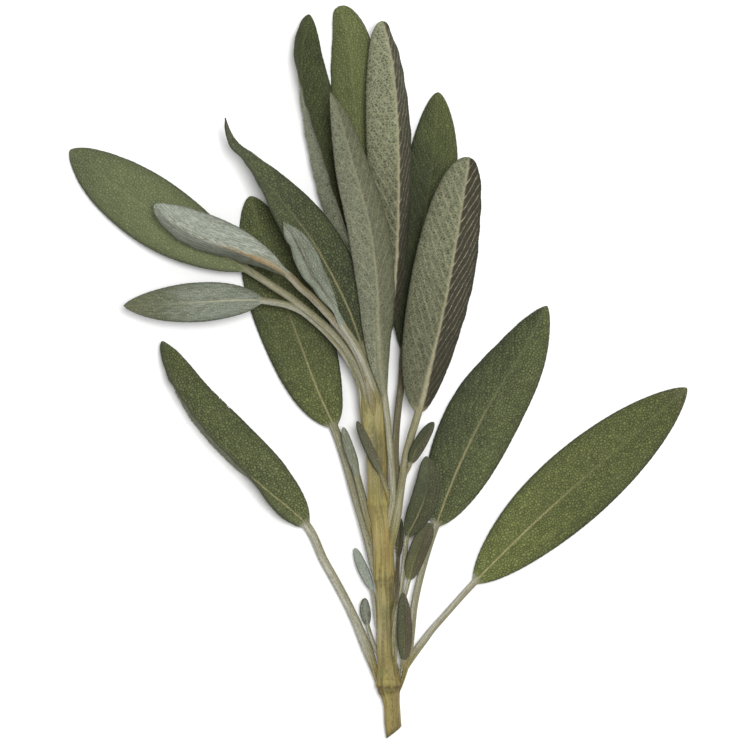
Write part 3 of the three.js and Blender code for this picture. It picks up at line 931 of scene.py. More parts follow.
# ---------------------------------------------------------------- skins
@dataclass
class Skin:
    """Rows of points that run round a piece, ring after ring, with what each point carries.

    Attributes:
        places: Millimetres, shaped (rings, round, 3). The last point of a ring meets the first.
        marks: Numbers for the finishes, each shaped (rings, round).
        plan: Lengthwise and crosswise millimetres, shaped (rings, round, 2).
        lift: Millimetres by which a pebble's top rises over its gap, shaped as places.
        slots: The material of each face, shaped (rings - 1, round).
    """

    places: np.ndarray
    marks: Mapping[str, np.ndarray]
    plan: np.ndarray
    lift: np.ndarray
    slots: np.ndarray

    def wrap(self, name: str, materials: Sequence[bpy.types.Material]) -> bpy.types.Object:
        """Rolls a grid into the closed skin and raises its pebbles.

        Args:
            name: The piece's name.
            materials: The materials that the slots number.

        Returns:
            The finished piece, with its place in its mesh.
        """
        rings, around = self.places.shape[:2]
        bpy.ops.object.select_all(action="DESELECT")
        bpy.ops.mesh.primitive_grid_add(x_subdivisions=around, y_subdivisions=rings - 1, size=1.0)
        piece = bpy.context.object
        piece.name = name
        mesh = piece.data
        mesh.name = name
        flat = np.empty(len(mesh.vertices) * 3)
        mesh.vertices.foreach_get("co", flat)
        flat = flat.reshape(-1, 3)
        column = np.rint((flat[:, 0] + 0.5) * around).astype(int) % around
        ring = np.rint((flat[:, 1] + 0.5) * (rings - 1)).astype(int)
        self._mark_points(mesh, ring, column)
        self._mark_faces(mesh, flat, materials)
        solid = self.places[ring, column] * MM
        mesh.vertices.foreach_set("co", solid.ravel())
        self._close()
        modifier = piece.modifiers.new("pebbles", "NODES")
        modifier.node_group = pebble_relief()
        bpy.ops.object.modifier_apply(modifier=modifier.name)
        bpy.ops.object.shade_smooth()
        return piece

    def _mark_points(self, mesh: bpy.types.Mesh, ring: np.ndarray, column: np.ndarray) -> None:
        """Gives every point its marks, its plan and its lift.

        Args:
            mesh: The mesh.
            ring: The ring that each point is in.
            column: Its place in that ring.
        """
        for name, values in self.marks.items():
            layer = mesh.attributes.new(name, "FLOAT", "POINT")
            layer.data.foreach_set("value", values[ring, column].astype(np.float32))
        flat_plan = np.zeros((len(ring), 3))
        flat_plan[:, :2] = self.plan[ring, column]
        for name, vectors in (("plan", flat_plan), ("lift", self.lift[ring, column] * MM)):
            layer = mesh.attributes.new(name, "FLOAT_VECTOR", "POINT")
            layer.data.foreach_set("vector", vectors.astype(np.float32).ravel())

    def _mark_faces(
        self, mesh: bpy.types.Mesh, flat: np.ndarray, materials: Sequence[bpy.types.Material]
    ) -> None:
        """Gives every face its material, while the grid is still flat.

        Args:
            mesh: The mesh.
            flat: Where its points lie while it is flat.
            materials: The materials, in the order of the slots.
        """
        rings, around = self.places.shape[:2]
        for material in materials:
            mesh.materials.append(material)
        corners = np.empty(len(mesh.loops), np.int32)
        mesh.loops.foreach_get("vertex_index", corners)
        middle = flat[corners].reshape(-1, 4, 3).mean(axis=1)
        column = np.floor((middle[:, 0] + 0.5) * around).astype(int)
        ring = np.floor((middle[:, 1] + 0.5) * (rings - 1)).astype(int)
        mesh.polygons.foreach_set("material_index", self.slots[ring, column].astype(np.int32))

    def _close(self) -> None:
        """Joins the seam, closes both ends and turns the faces outwards."""
        bpy.ops.object.mode_set(mode="EDIT")
        bpy.ops.mesh.select_all(action="SELECT")
        bpy.ops.mesh.remove_doubles(threshold=1e-7)
        bpy.ops.mesh.fill_holes(sides=0)
        bpy.ops.mesh.select_all(action="SELECT")
        bpy.ops.mesh.normals_make_consistent(inside=False)
        bpy.ops.object.mode_set(mode="OBJECT")


def pebble_relief() -> bpy.types.GeometryNodeTree:
    """Moves each point along its own lift where the net of pebbles is high.

    Returns:
        The geometry nodes, made once.
    """
    name = "pebble relief"
    if name in bpy.data.node_groups:
        return bpy.data.node_groups[name]
    tree = bpy.data.node_groups.new(name, "GeometryNodeTree")
    for direction in ("INPUT", "OUTPUT"):
        tree.interface.new_socket("Geometry", in_out=direction, socket_type="NodeSocketGeometry")
    start = add_node(tree, "NodeGroupInput")
    vector = {"data_type": "FLOAT_VECTOR"}
    plan = add_node(tree, "GeometryNodeInputNamedAttribute", vector, {"Name": "plan"})
    lift = add_node(tree, "GeometryNodeInputNamedAttribute", vector, {"Name": "lift"})
    edge = add_node(
        tree,
        "ShaderNodeTexVoronoi",
        {"voronoi_dimensions": "2D", "feature": "DISTANCE_TO_EDGE"},
        {"Vector": wandering(tree, plan.outputs["Attribute"]), "Scale": 1 / PEBBLE_PITCH},
    )
    dome = add_node(
        tree,
        "ShaderNodeMapRange",
        {"interpolation_type": "SMOOTHSTEP"},
        {0: edge.outputs["Distance"], 1: 0.0, 2: 0.36, 3: -0.5, 4: 0.5},
    )
    move = add_node(
        tree,
        "ShaderNodeVectorMath",
        {"operation": "SCALE"},
        {"Vector": lift.outputs["Attribute"], "Scale": dome.outputs[0]},
    )
    raised = add_node(
        tree,
        "GeometryNodeSetPosition",
        {},
        {"Geometry": start.outputs["Geometry"], "Offset": move.outputs["Vector"]},
    )
    add_node(tree, "NodeGroupOutput", {}, {"Geometry": raised.outputs["Geometry"]})
    return tree


# ---------------------------------------------------------------- leaves
@dataclass(frozen=True)
class Tone:
    """How one leaf differs in colour from the next.

    Attributes:
        age: From the base to the tip, 0 for deep olive and 1 for fresh yellow green.
        bloom: How much of the down shows, from the base to the tip.
        slant: What the age gains from the left margin to the right one.
        brown: How far the left and the right half are darkened towards brown, partly as drying and
            partly as painted shade on a half turned from the light.
        under: What the age and the bloom gain on the underside.
        tip: How far the tip has turned brown.
        base: How much painted shade darkens the underside towards brown near the stalk.
        veins: How strongly the veins show.
        pebble: How strongly the pebbles show.
        net: How much more strongly they show on the underside.
        stalk_shade: How far painted shade darkens the stalk towards brown.
        lean: What the bloom gains from the left margin to the right one.
        crease_shade: How dark the painted shade in the fold along the rib is.
        bark: How far the stalk's root takes the colour of bark.
        frost_and_light: How pale its down makes the stalk; the down is laid thicker on one side as
            painted light.
    """

    age: tuple[float, ...] = (0.45, 0.45)
    bloom: tuple[float, ...] = (0.1, 0.1)
    slant: float = 0.0
    brown: tuple[float, float] = (0.0, 0.0)
    under: tuple[float, float] = (0.0, 0.0)
    tip: float = 0.0
    base: float = 0.0
    veins: float = 1.0
    pebble: float = 1.0
    net: float = 1.0
    stalk_shade: float = 0.0
    lean: float = 0.0
    crease_shade: float = 0.0
    bark: float = 1.0
    frost_and_light: float = 0.0


@dataclass(frozen=True)
class Leaf:
    """A stalked leaf, laid along a route.

    Attributes:
        node: The solid that it stands for.
        stalk: The route from the root to just before the blade.
        rib: The route from the base of the blade to its tip.
        width: The blade's greatest width.
        taper: How fast it narrows to the base and to the tip.
        roll: Turn of the section from base to tip, 0 with the upper side up.
        stalk_width: The stalk's width.
        left: How far the left half is raised from base to tip.
        right: How far the right half is raised from base to tip.
        curl: What the margin is raised beyond its half.
        wave: Height, number and start of the margin's waves.
        shown: The face that is seen from above.
        growth: Grown or young.
        slot: The name of its material slot; not used.
        tone: The leaf's own colouring.
        relief: Height of its pebbles and veins as a share of the usual.
        root: Where the stalk starts, if not inside a stem or shoot.
        rib_share: Reach of the pale rib at the base of the underside, as a share of half the
            stalk.
    """

    node: str
    stalk: tuple[Point, ...]
    rib: tuple[Point, ...]
    width: float
    taper: tuple[float, float]
    roll: tuple[float, ...] = (0.0, 0.0)
    stalk_width: float = 1.1
    left: tuple[float, ...] = (20, 45, 25)
    right: tuple[float, ...] = (20, 40, 25)
    curl: float = 0.0
    wave: Triple = (0.0, 1.0, 0.0)
    shown: Side = Side.UPPER
    growth: Growth = Growth.GROWN
    slot: str = "leaf"
    tone: Tone = field(default_factory=Tone)
    relief: float = 1.0
    root: Point | None = None
    rib_share: float = 0.75

    def build(self, number: int, finishes: Finishes) -> bpy.types.Object:
        """Models the leaf, dresses it and puts it in place of its solid.

        Args:
            number: The leaf's number, which shifts its pattern from the others'.
            finishes: The materials.

        Returns:
            The piece.
        """
        rng = np.random.default_rng(LEAF_SEED + number)
        root = self.root or sunk_root(self.stalk[0])
        route = Route((root,) + self.stalk + self.rib)
        start = route.length_to(len(self.stalk) + 1)
        blade_length = route.length - start
        distance = self._ring_places(start, blade_length)
        share = (distance - start) / blade_length
        small = self.width < SMALL_WIDTH
        shown, hidden = SMALL_COLUMNS if small else (SHOWN_COLUMNS, HIDDEN_COLUMNS)
        upper_count, under_count = (shown, hidden) if self.shown is Side.UPPER else (hidden, shown)
        half = self._half_widths(share, distance - start, rng)
        laid = LaidLeaf(self, route, distance, share, half, rng)
        upper = laid.face(Side.UPPER, upper_count)
        under = laid.face(Side.UNDER, under_count)
        joined = {key: np.concatenate([upper[key], under[key]], axis=1) for key in upper}
        places = joined.pop("places")
        places[..., 2] = np.maximum(places[..., 2], TABLE_CLEARANCE)
        plan = joined.pop("plan") + rng.uniform(*PATTERN_SHIFT, 2)
        lift = joined.pop("lift")
        slots = np.ones((len(distance) - 1, upper_count + under_count), int)
        slots[:, : upper_count - 1] = 0
        skin = Skin(places, joined, plan, lift, slots)
        materials = (finishes.upper[self.growth], finishes.under[self.growth])
        piece = skin.wrap(f"{self.node}_skin", materials)
        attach(piece, "root")
        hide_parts(self.node)
        return piece

    def _ring_places(self, start: float, blade_length: float) -> np.ndarray:
        """Spaces the rings: wide along the stalk, close along the blade, closer at its ends.

        Args:
            start: Millimetres of stalk before the blade.
            blade_length: Millimetres of blade.

        Returns:
            The distance of each ring along the route.
        """
        stalk = np.linspace(0.0, start, max(6, round(start / STALK_STEP)), endpoint=False)
        even = np.linspace(0.0, 1.0, max(24, round(blade_length / RING_STEP)))
        eased = 0.7 * even + 0.3 * (1 - np.cos(np.pi * even)) / 2
        return np.concatenate([stalk, start + blade_length * eased])

    def _half_widths(
        self, share: np.ndarray, along: np.ndarray, rng: np.random.Generator
    ) -> np.ndarray:
        """Half the width at each ring, with the margin's fine scallops.

        Args:
            share: How far along the blade each ring is, negative on the stalk.
            along: The same in millimetres.
            rng: The leaf's own random numbers.

        Returns:
            Half widths in millimetres.
        """
        u = np.clip(share, 0.0, 1.0)
        base, tip = self.taper
        widest = base / (base + tip)
        peak = widest**base * (1 - widest) ** tip
        blade = self.width / 2 * u**base * (1 - u) ** tip / peak
        height, spacing = SCALLOP
        scallops = height * (np.abs(np.sin(np.pi * along / spacing + rng.uniform(0, 3))) - 0.64)
        blade = blade + scallops * smoothstep(1.0, 4.0, blade)
        stalk = self.stalk_half(along) * (1 - smoothstep(0.0, 0.3, share))
        tip_half = TIP_HALF_WIDTH * np.sqrt(np.clip(1 - u, 0.002, 1.0)) * smoothstep(0.6, 0.9, u)
        return (blade**4 + stalk**4 + tip_half**4) ** 0.25

    def stalk_half(self, along: np.ndarray) -> np.ndarray:
        """Half the stalk's width: thin inside the stem, widest as it leaves it.

        Args:
            along: Millimetres along the route at each ring, from any start.

        Returns:
            Half widths in millimetres.
        """
        inside = along - along[0]
        flare = bell(inside - ROOT_DEPTH * 1.4, ROOT_DEPTH * 0.6)
        narrow = ROOT_START + (1 - ROOT_START) * smoothstep(0.0, ROOT_DEPTH * 1.4, inside)
        return self.stalk_width / 2 * narrow * (1 + ROOT_FLARE * flare)


@dataclass(frozen=True)
class FaceGrid:
    """Where the points of one face lie on the leaf, shaped (rings, points across).

    Attributes:
        face: Which face.
        reach: From -1 at the left margin to 1 at the right one.
        w: Millimetres across, negative to the left.
        u: How far along the blade, in one column.
        from_rib: 0 at the midrib and 1 at the margin.
        size: Less than 1 where the blade is narrow, in one column.
        on_blade: 0 on the stalk and 1 on the blade, in one column.
        veins: A soft bump over each side vein.
        nearest: How far off the nearest side vein is.
        faded: How much of the veins is left towards the margin.
    """

    face: Side
    reach: np.ndarray
    w: np.ndarray
    u: np.ndarray
    from_rib: np.ndarray
    size: np.ndarray
    on_blade: np.ndarray
    veins: np.ndarray
    nearest: np.ndarray
    faded: np.ndarray


class LaidLeaf:
    """A leaf's two faces, laid along its route."""

    def __init__(
        self,
        leaf: Leaf,
        route: Route,
        distance: np.ndarray,
        share: np.ndarray,
        half: np.ndarray,
        rng: np.random.Generator,
    ) -> None:
        """Works out what both faces share.

        Args:
            leaf: The leaf.
            route: Its route.
            distance: Millimetres along the route at each ring.
            share: How far along the blade each ring is, negative on the stalk.
            half: Half the width at each ring.
            rng: The leaf's own random numbers.
        """
        self.leaf = leaf
        self.share = share
        self.u = np.clip(share, 0.0, 1.0)
        self.along = distance - distance[-1] + (distance[-1] - np.interp(0.0, share, distance))
        self.half = half
        self.centre, ahead = route.at(distance)
        self.side, self.face_up = lengthwise_frame(ahead, spread(leaf.roll, self.u))
        self.blade = smoothstep(-0.03, 0.06, share)
        self.inside = (self.along - self.along[0])[:, None]
        self.rib_half = leaf.stalk_half(self.along)[:, None] * (1 - 0.8 * self.u[:, None] ** 0.7)
        self.phases = rng.uniform(0, 2 * np.pi, 6)
        self.walks = {sign: self._walk(sign) for sign in (-1, 1)}

    def _walk(self, sign: int) -> tuple[np.ndarray, np.ndarray]:
        """Walks from the midrib to one margin.

        Args:
            sign: -1 for the left half, 1 for the right half.

        Returns:
            Millimetres across and above at each step, each shaped (rings, steps + 1).
        """
        leaf = self.leaf
        ease = np.minimum(1.0, self.half / FOLD_FREE_HALF_WIDTH) * self.blade
        raised = leaf.left if sign < 0 else leaf.right
        fold = np.radians(spread(raised, self.u)) * ease
        curl = math.radians(leaf.curl) * ease
        middle = (np.arange(WALK_STEPS) + 0.5) / WALK_STEPS
        slope = fold[:, None] * smoothstep(0.0, 0.12, middle) + curl[:, None] * middle
        pace = (self.half / WALK_STEPS)[:, None]
        start = np.zeros((len(self.half), 1))
        across = np.hstack([start, np.cumsum(pace * np.cos(slope), axis=1)])
        above = np.hstack([start, np.cumsum(pace * np.sin(slope), axis=1)])
        height, count, phase = leaf.wave
        turn = 2 * np.pi * (count * self.u + phase + (0.37 if sign < 0 else 0.0))
        swell = height * np.sin(turn) * ease * np.minimum(1.0, 6 * self.u * (1 - self.u))
        swell = swell + MARGIN_SWELL * np.sin(self.along * 1.15 + self.phases[0] + sign) * ease
        v = np.arange(WALK_STEPS + 1) / WALK_STEPS
        edge_slope = np.hstack([slope, slope[:, -1:]])
        lift = swell[:, None] * v * v
        return across - lift * np.sin(edge_slope), above + lift * np.cos(edge_slope)

    def _middle(self, v: np.ndarray) -> tuple[np.ndarray, np.ndarray, np.ndarray]:
        """The leaf's middle surface.

        Args:
            v: Places across, from -1 at the left margin to 1 at the right one, rising.

        Returns:
            The places, the outward directions of the upper side, and v with the stalk's round
            section allowed for, shaped (rings, len(v)).
        """
        m = self.blade[:, None]
        reach = (1 - m) * np.sin(np.pi * v / 2) + m * v
        step = np.abs(reach) * WALK_STEPS
        low = np.clip(step.astype(int), 0, WALK_STEPS - 1)
        part = step - low
        rows = np.arange(len(self.half))[:, None]
        across = np.zeros_like(reach)
        above = np.zeros_like(reach)
        for sign, (sideways, upwards) in self.walks.items():
            here = np.sign(reach) == sign
            x = sideways[rows, low] * (1 - part) + sideways[rows, low + 1] * part
            y = upwards[rows, low] * (1 - part) + upwards[rows, low + 1] * part
            across = np.where(here, sign * x, across)
            above = np.where(here, y, above)
        places = (
            self.centre[:, None]
            + self.side[:, None] * across[..., None]
            + self.face_up[:, None] * above[..., None]
        )
        lengthwise = np.gradient(places, axis=0)
        crosswise = np.gradient(places, axis=1)
        normal = np.cross(crosswise, lengthwise)
        normal /= np.maximum(np.linalg.norm(normal, axis=2, keepdims=True), 1e-9)
        return places, normal, reach

    def face(self, face: Side, count: int) -> dict[str, np.ndarray]:
        """Lays out one face.

        Args:
            face: Which face.
            count: Points across it.

        Returns:
            Places, plan, lift and marks, from left to right on the upper side and back on the
            underside.
        """
        middle, normal, reach = self._middle(np.linspace(-1.0, 1.0, count))
        grid = self._grid(face, reach)
        laid = {
            "places": middle + normal * self._offset(grid)[..., None],
            "plan": np.stack([self.along[:, None] * np.ones_like(reach), grid.w], axis=2),
            "lift": normal * self._pebble_height(grid)[..., None],
        }
        laid.update(self._blade_marks(grid))
        laid.update(self._vein_marks(grid))
        laid.update(self._stalk_marks(grid))
        if face is Side.UNDER:
            laid = {key: values[:, ::-1] for key, values in laid.items()}
        return laid

    def _grid(self, face: Side, reach: np.ndarray) -> FaceGrid:
        """Works out where the points of one face lie on the leaf.

        Args:
            face: Which face.
            reach: From -1 at the left margin to 1 at the right one.

        Returns:
            What the height and the marks of that face are read from.
        """
        w = reach * self.half[:, None]
        u = self.u[:, None]
        on_blade = smoothstep(0.0, 0.05, self.share)[:, None]
        from_rib = np.abs(reach)
        size = np.minimum(1.0, self.half / 4.0)[:, None]
        veins, nearest = self._side_veins(w)
        faded = (1 - smoothstep(0.8, 1.0, from_rib)) * size * on_blade
        return FaceGrid(face, reach, w, u, from_rib, size, on_blade, veins, nearest, faded)

    def _thickness(self, grid: FaceGrid) -> np.ndarray:
        """How far the face stands off the middle: a round stalk that runs out in a thin blade.

        Args:
            grid: Where its points lie.

        Returns:
            Millimetres at each point.
        """
        sunk = 1 - 0.3 * (1 - smoothstep(ROOT_DEPTH - 4.0, ROOT_DEPTH + 4.0, self.inside))
        rounded = np.sqrt(np.clip(1 - (grid.w / self.rib_half) ** 2, 0, 1))
        stalk = STALK_ROUNDNESS * sunk * self.rib_half * rounded
        if grid.face is Side.UPPER:
            stalk = stalk * (1 - smoothstep(-0.02, 0.07, self.share)[:, None])
        to_rim = np.maximum(smoothstep(0.9, 1.0, grid.from_rib), smoothstep(0.96, 1.0, grid.u))
        blade = BLADE_THICKNESS / 2 * (1 - 0.6 * to_rim) * self.blade[:, None]
        return (stalk**3 + (blade + 0.05) ** 3) ** (1 / 3)

    def _offset(self, grid: FaceGrid) -> np.ndarray:
        """How far each point stands off the leaf's middle, towards its upper side.

        Args:
            grid: Where the points lie.

        Returns:
            Millimetres: the thickness, the sunken veins, the rolled margin and the unevenness.
        """
        thick = self._thickness(grid)
        size, on_blade = grid.size, grid.on_blade
        sunk = -SIDE_VEIN_DEPTH * self.leaf.relief * grid.veins * grid.faded
        rolled = -ROLLED_MARGIN * size * smoothstep(0.86, 1.0, grid.from_rib) ** 2 * on_blade
        lengthwise = np.sin(self.along[:, None] * 0.8 + self.phases[1])
        cockle = COCKLE_HEIGHT * lengthwise * np.sin(grid.w * 0.9 + self.phases[2])
        shared = sunk + rolled + cockle * size * on_blade
        if grid.face is Side.UNDER:
            return shared - thick
        groove = -MIDRIB_DEPTH * size * bell(grid.w, 0.42) * (1 - 0.65 * grid.u) * on_blade
        stalk_groove = -0.3 * self.leaf.stalk_width / 2 * bell(grid.reach, 0.4) * (1 - on_blade)
        return thick + shared + groove + stalk_groove

    def _pebble_height(self, grid: FaceGrid) -> np.ndarray:
        """How high the pebbles stand: lower at the margin, none on the midrib and the stalk.

        Args:
            grid: Where the points of the face lie.

        Returns:
            Millimetres at each point.
        """
        height = PEBBLE_HEIGHT * self.leaf.relief * grid.size * grid.on_blade
        height = height * (1 - 0.6 * smoothstep(0.9, 1.0, grid.from_rib)) * (1 - bell(grid.w, 0.5))
        return height if grid.face is Side.UPPER else UNDER_PEBBLES * height

    def _blade_marks(self, grid: FaceGrid) -> dict[str, np.ndarray]:
        """What colours the blade: its pebbles, its age, its down, where it is drying and where
        shade is painted.

        Args:
            grid: Where the points of the face lie.

        Returns:
            The marks by name.
        """
        leaf, tone = self.leaf, self.leaf.tone
        reach, u = grid.reach, grid.u
        is_under = grid.face is Side.UNDER
        age_gain, bloom_gain = tone.under if is_under else (0.0, 0.0)
        pebbled = tone.pebble * (tone.net if is_under else 1.0)
        # The brown mark: painted shade on the half that is turned from the light, together with
        # real drying.
        dried_and_shaded = np.where(reach < 0, *tone.brown) * smoothstep(0.0, 0.5, np.abs(grid.w))
        if leaf.growth is Growth.YOUNG:
            dried_and_shaded = dried_and_shaded * (1 - 0.75 * smoothstep(0.3, 0.65, u))
        # Painted shade near the stalk, where the neighbouring leaves shade the underside.
        if is_under:
            dried_and_shaded = dried_and_shaded + tone.base * (1 - smoothstep(0.4, 0.65, u))
        dried_and_shaded = np.maximum(dried_and_shaded, tone.tip * smoothstep(0.9, 1.0, u + 0.04 * grid.from_rib))
        # Painted shade in the fold along the midrib.
        dried_and_shaded = np.maximum(dried_and_shaded, tone.crease_shade * bell(grid.w, 0.45) * smoothstep(0.1, 0.35, u))
        clear = (1 - 0.7 * bell(grid.w, 0.3)) * (1 - 0.5 * np.clip(dried_and_shaded, 0.0, 1.0))
        return {
            "pebble": pebbled * clear,
            "brown": dried_and_shaded,
            "age": spread(tone.age, self.u)[:, None] + tone.slant * reach / 2 + age_gain,
            "bloom": spread(tone.bloom, self.u)[:, None] + tone.lean * reach / 2 + bloom_gain,
        }

    def _vein_marks(self, grid: FaceGrid) -> dict[str, np.ndarray]:
        """The midrib, the side veins and the margin.

        Args:
            grid: Where the points of the face lie.

        Returns:
            The marks by name.
        """
        leaf = self.leaf
        reach = 0.2
        fade = 1 - 0.93 * smoothstep(0.2, 0.68, grid.u)
        clear = 1.0
        if grid.face is Side.UNDER:
            near_base = 1 - smoothstep(0.1, 0.5, grid.u)
            reach = np.maximum(0.3, leaf.rib_share * self.rib_half * near_base)
            if leaf.growth is Growth.GROWN:
                fade = 1 - 0.5 * grid.u
                clear = 0.35 + 0.65 * smoothstep(0.1, 0.5, grid.u)
        strength = min(1.0, leaf.tone.veins)
        # The margin mark: a wide band of painted shade towards the margin, plus the thin rolled
        # edge.
        soft = 0.4 * smoothstep(0.6, 1.0, grid.from_rib)
        sharp = 0.6 * smoothstep(0.91, 1.0, grid.from_rib)
        return {
            "midrib": bell(grid.w, reach) * fade * grid.size**0.5 * strength,
            "sidevein": bell(grid.nearest, 0.11) * grid.faded * leaf.tone.veins * clear,
            "margin": (soft + sharp) * grid.on_blade,
        }

    def _stalk_marks(self, grid: FaceGrid) -> dict[str, np.ndarray]:
        """What colours the stalk: painted shade at its edges and down one side, its bark, painted
        shade over a shaded stalk, and its down, laid thicker on the other side as painted light.

        Args:
            grid: Where the points of the face lie.

        Returns:
            The marks by name.
        """
        tone = self.leaf.tone
        ones = np.ones_like(grid.w)
        # far runs from -1 to 1 across the stalk as seen from above; the side where it is high is
        # painted in shade, and the other side in light.
        far = grid.reach * self.leaf.shown.value
        rooted = 1 - smoothstep(ROOT_DEPTH - 3.0, ROOT_DEPTH + 8.0, self.inside)
        rim = 0.6 * smoothstep(0.6, 0.97, grid.from_rib)
        return {
            # Painted shade: the dark edges of the round stalk and its shaded side.
            "edge": np.maximum(rim, 0.75 * smoothstep(0.0, 0.7, far)) * (1 - 0.9 * rooted),
            "root": tone.bark * rooted * ones,
            # Painted shade over the whole stalk beyond its root.
            "stalk_shade": tone.stalk_shade * (1 - rooted) * ones,
            # The stalk's down, laid thicker on the side away from the painted shade, as painted
            # light.
            "frost_and_light": tone.frost_and_light * (1 - 0.8 * rooted) * (0.5 - 0.5 * far),
            "stalk": (1 - smoothstep(0.0, 0.035, self.share)[:, None]) * ones,
        }

    def _side_veins(self, w: np.ndarray) -> tuple[np.ndarray, np.ndarray]:
        """The veins that leave the midrib in turn and bend towards the tip.

        Args:
            w: Millimetres across, negative to the left.

        Returns:
            A soft bump over each vein, and the distance to the nearest one.
        """
        out = np.abs(w)
        wander = 0.35 * np.sin(self.along[:, None] * 0.42 + self.phases[3] + np.sign(w))
        wander = wander + 0.22 * np.sin(out * 1.3 + self.phases[4])
        phase = self.along[:, None] - SIDE_VEIN_LEAN * out - SIDE_VEIN_BEND * out * out + wander
        phase = phase + np.where(w > 0, SIDE_VEIN_SPACING * SIDE_VEIN_STAGGER, 0.0)
        turn = phase / SIDE_VEIN_SPACING
        nearest = np.abs(turn - np.rint(turn)) * SIDE_VEIN_SPACING * SIDE_VEIN_SQUEEZE
        return bell(nearest, 0.3), nearest


# ---------------------------------------------------------------- stems
@dataclass(frozen=True)
class Patch:
    """A soft patch of colour on the bark.

    Attributes:
        level: Its y.
        angle: Where round the section it is, 0 at the right and pi / 2 on top.
        length: How far it reaches along the stem.
        strength: How strongly it shows.
        reach: How far it reaches round the section, in radians.
    """

    level: float
    angle: float
    length: float
    strength: float
    reach: float = 0.8


@dataclass(frozen=True)
class Station:
    """One section of a stem.

    Attributes:
        place: The middle of the section.
        wide: Half the width, level with the table.
        high: Half the height.
    """

    place: Point
    wide: float
    high: float


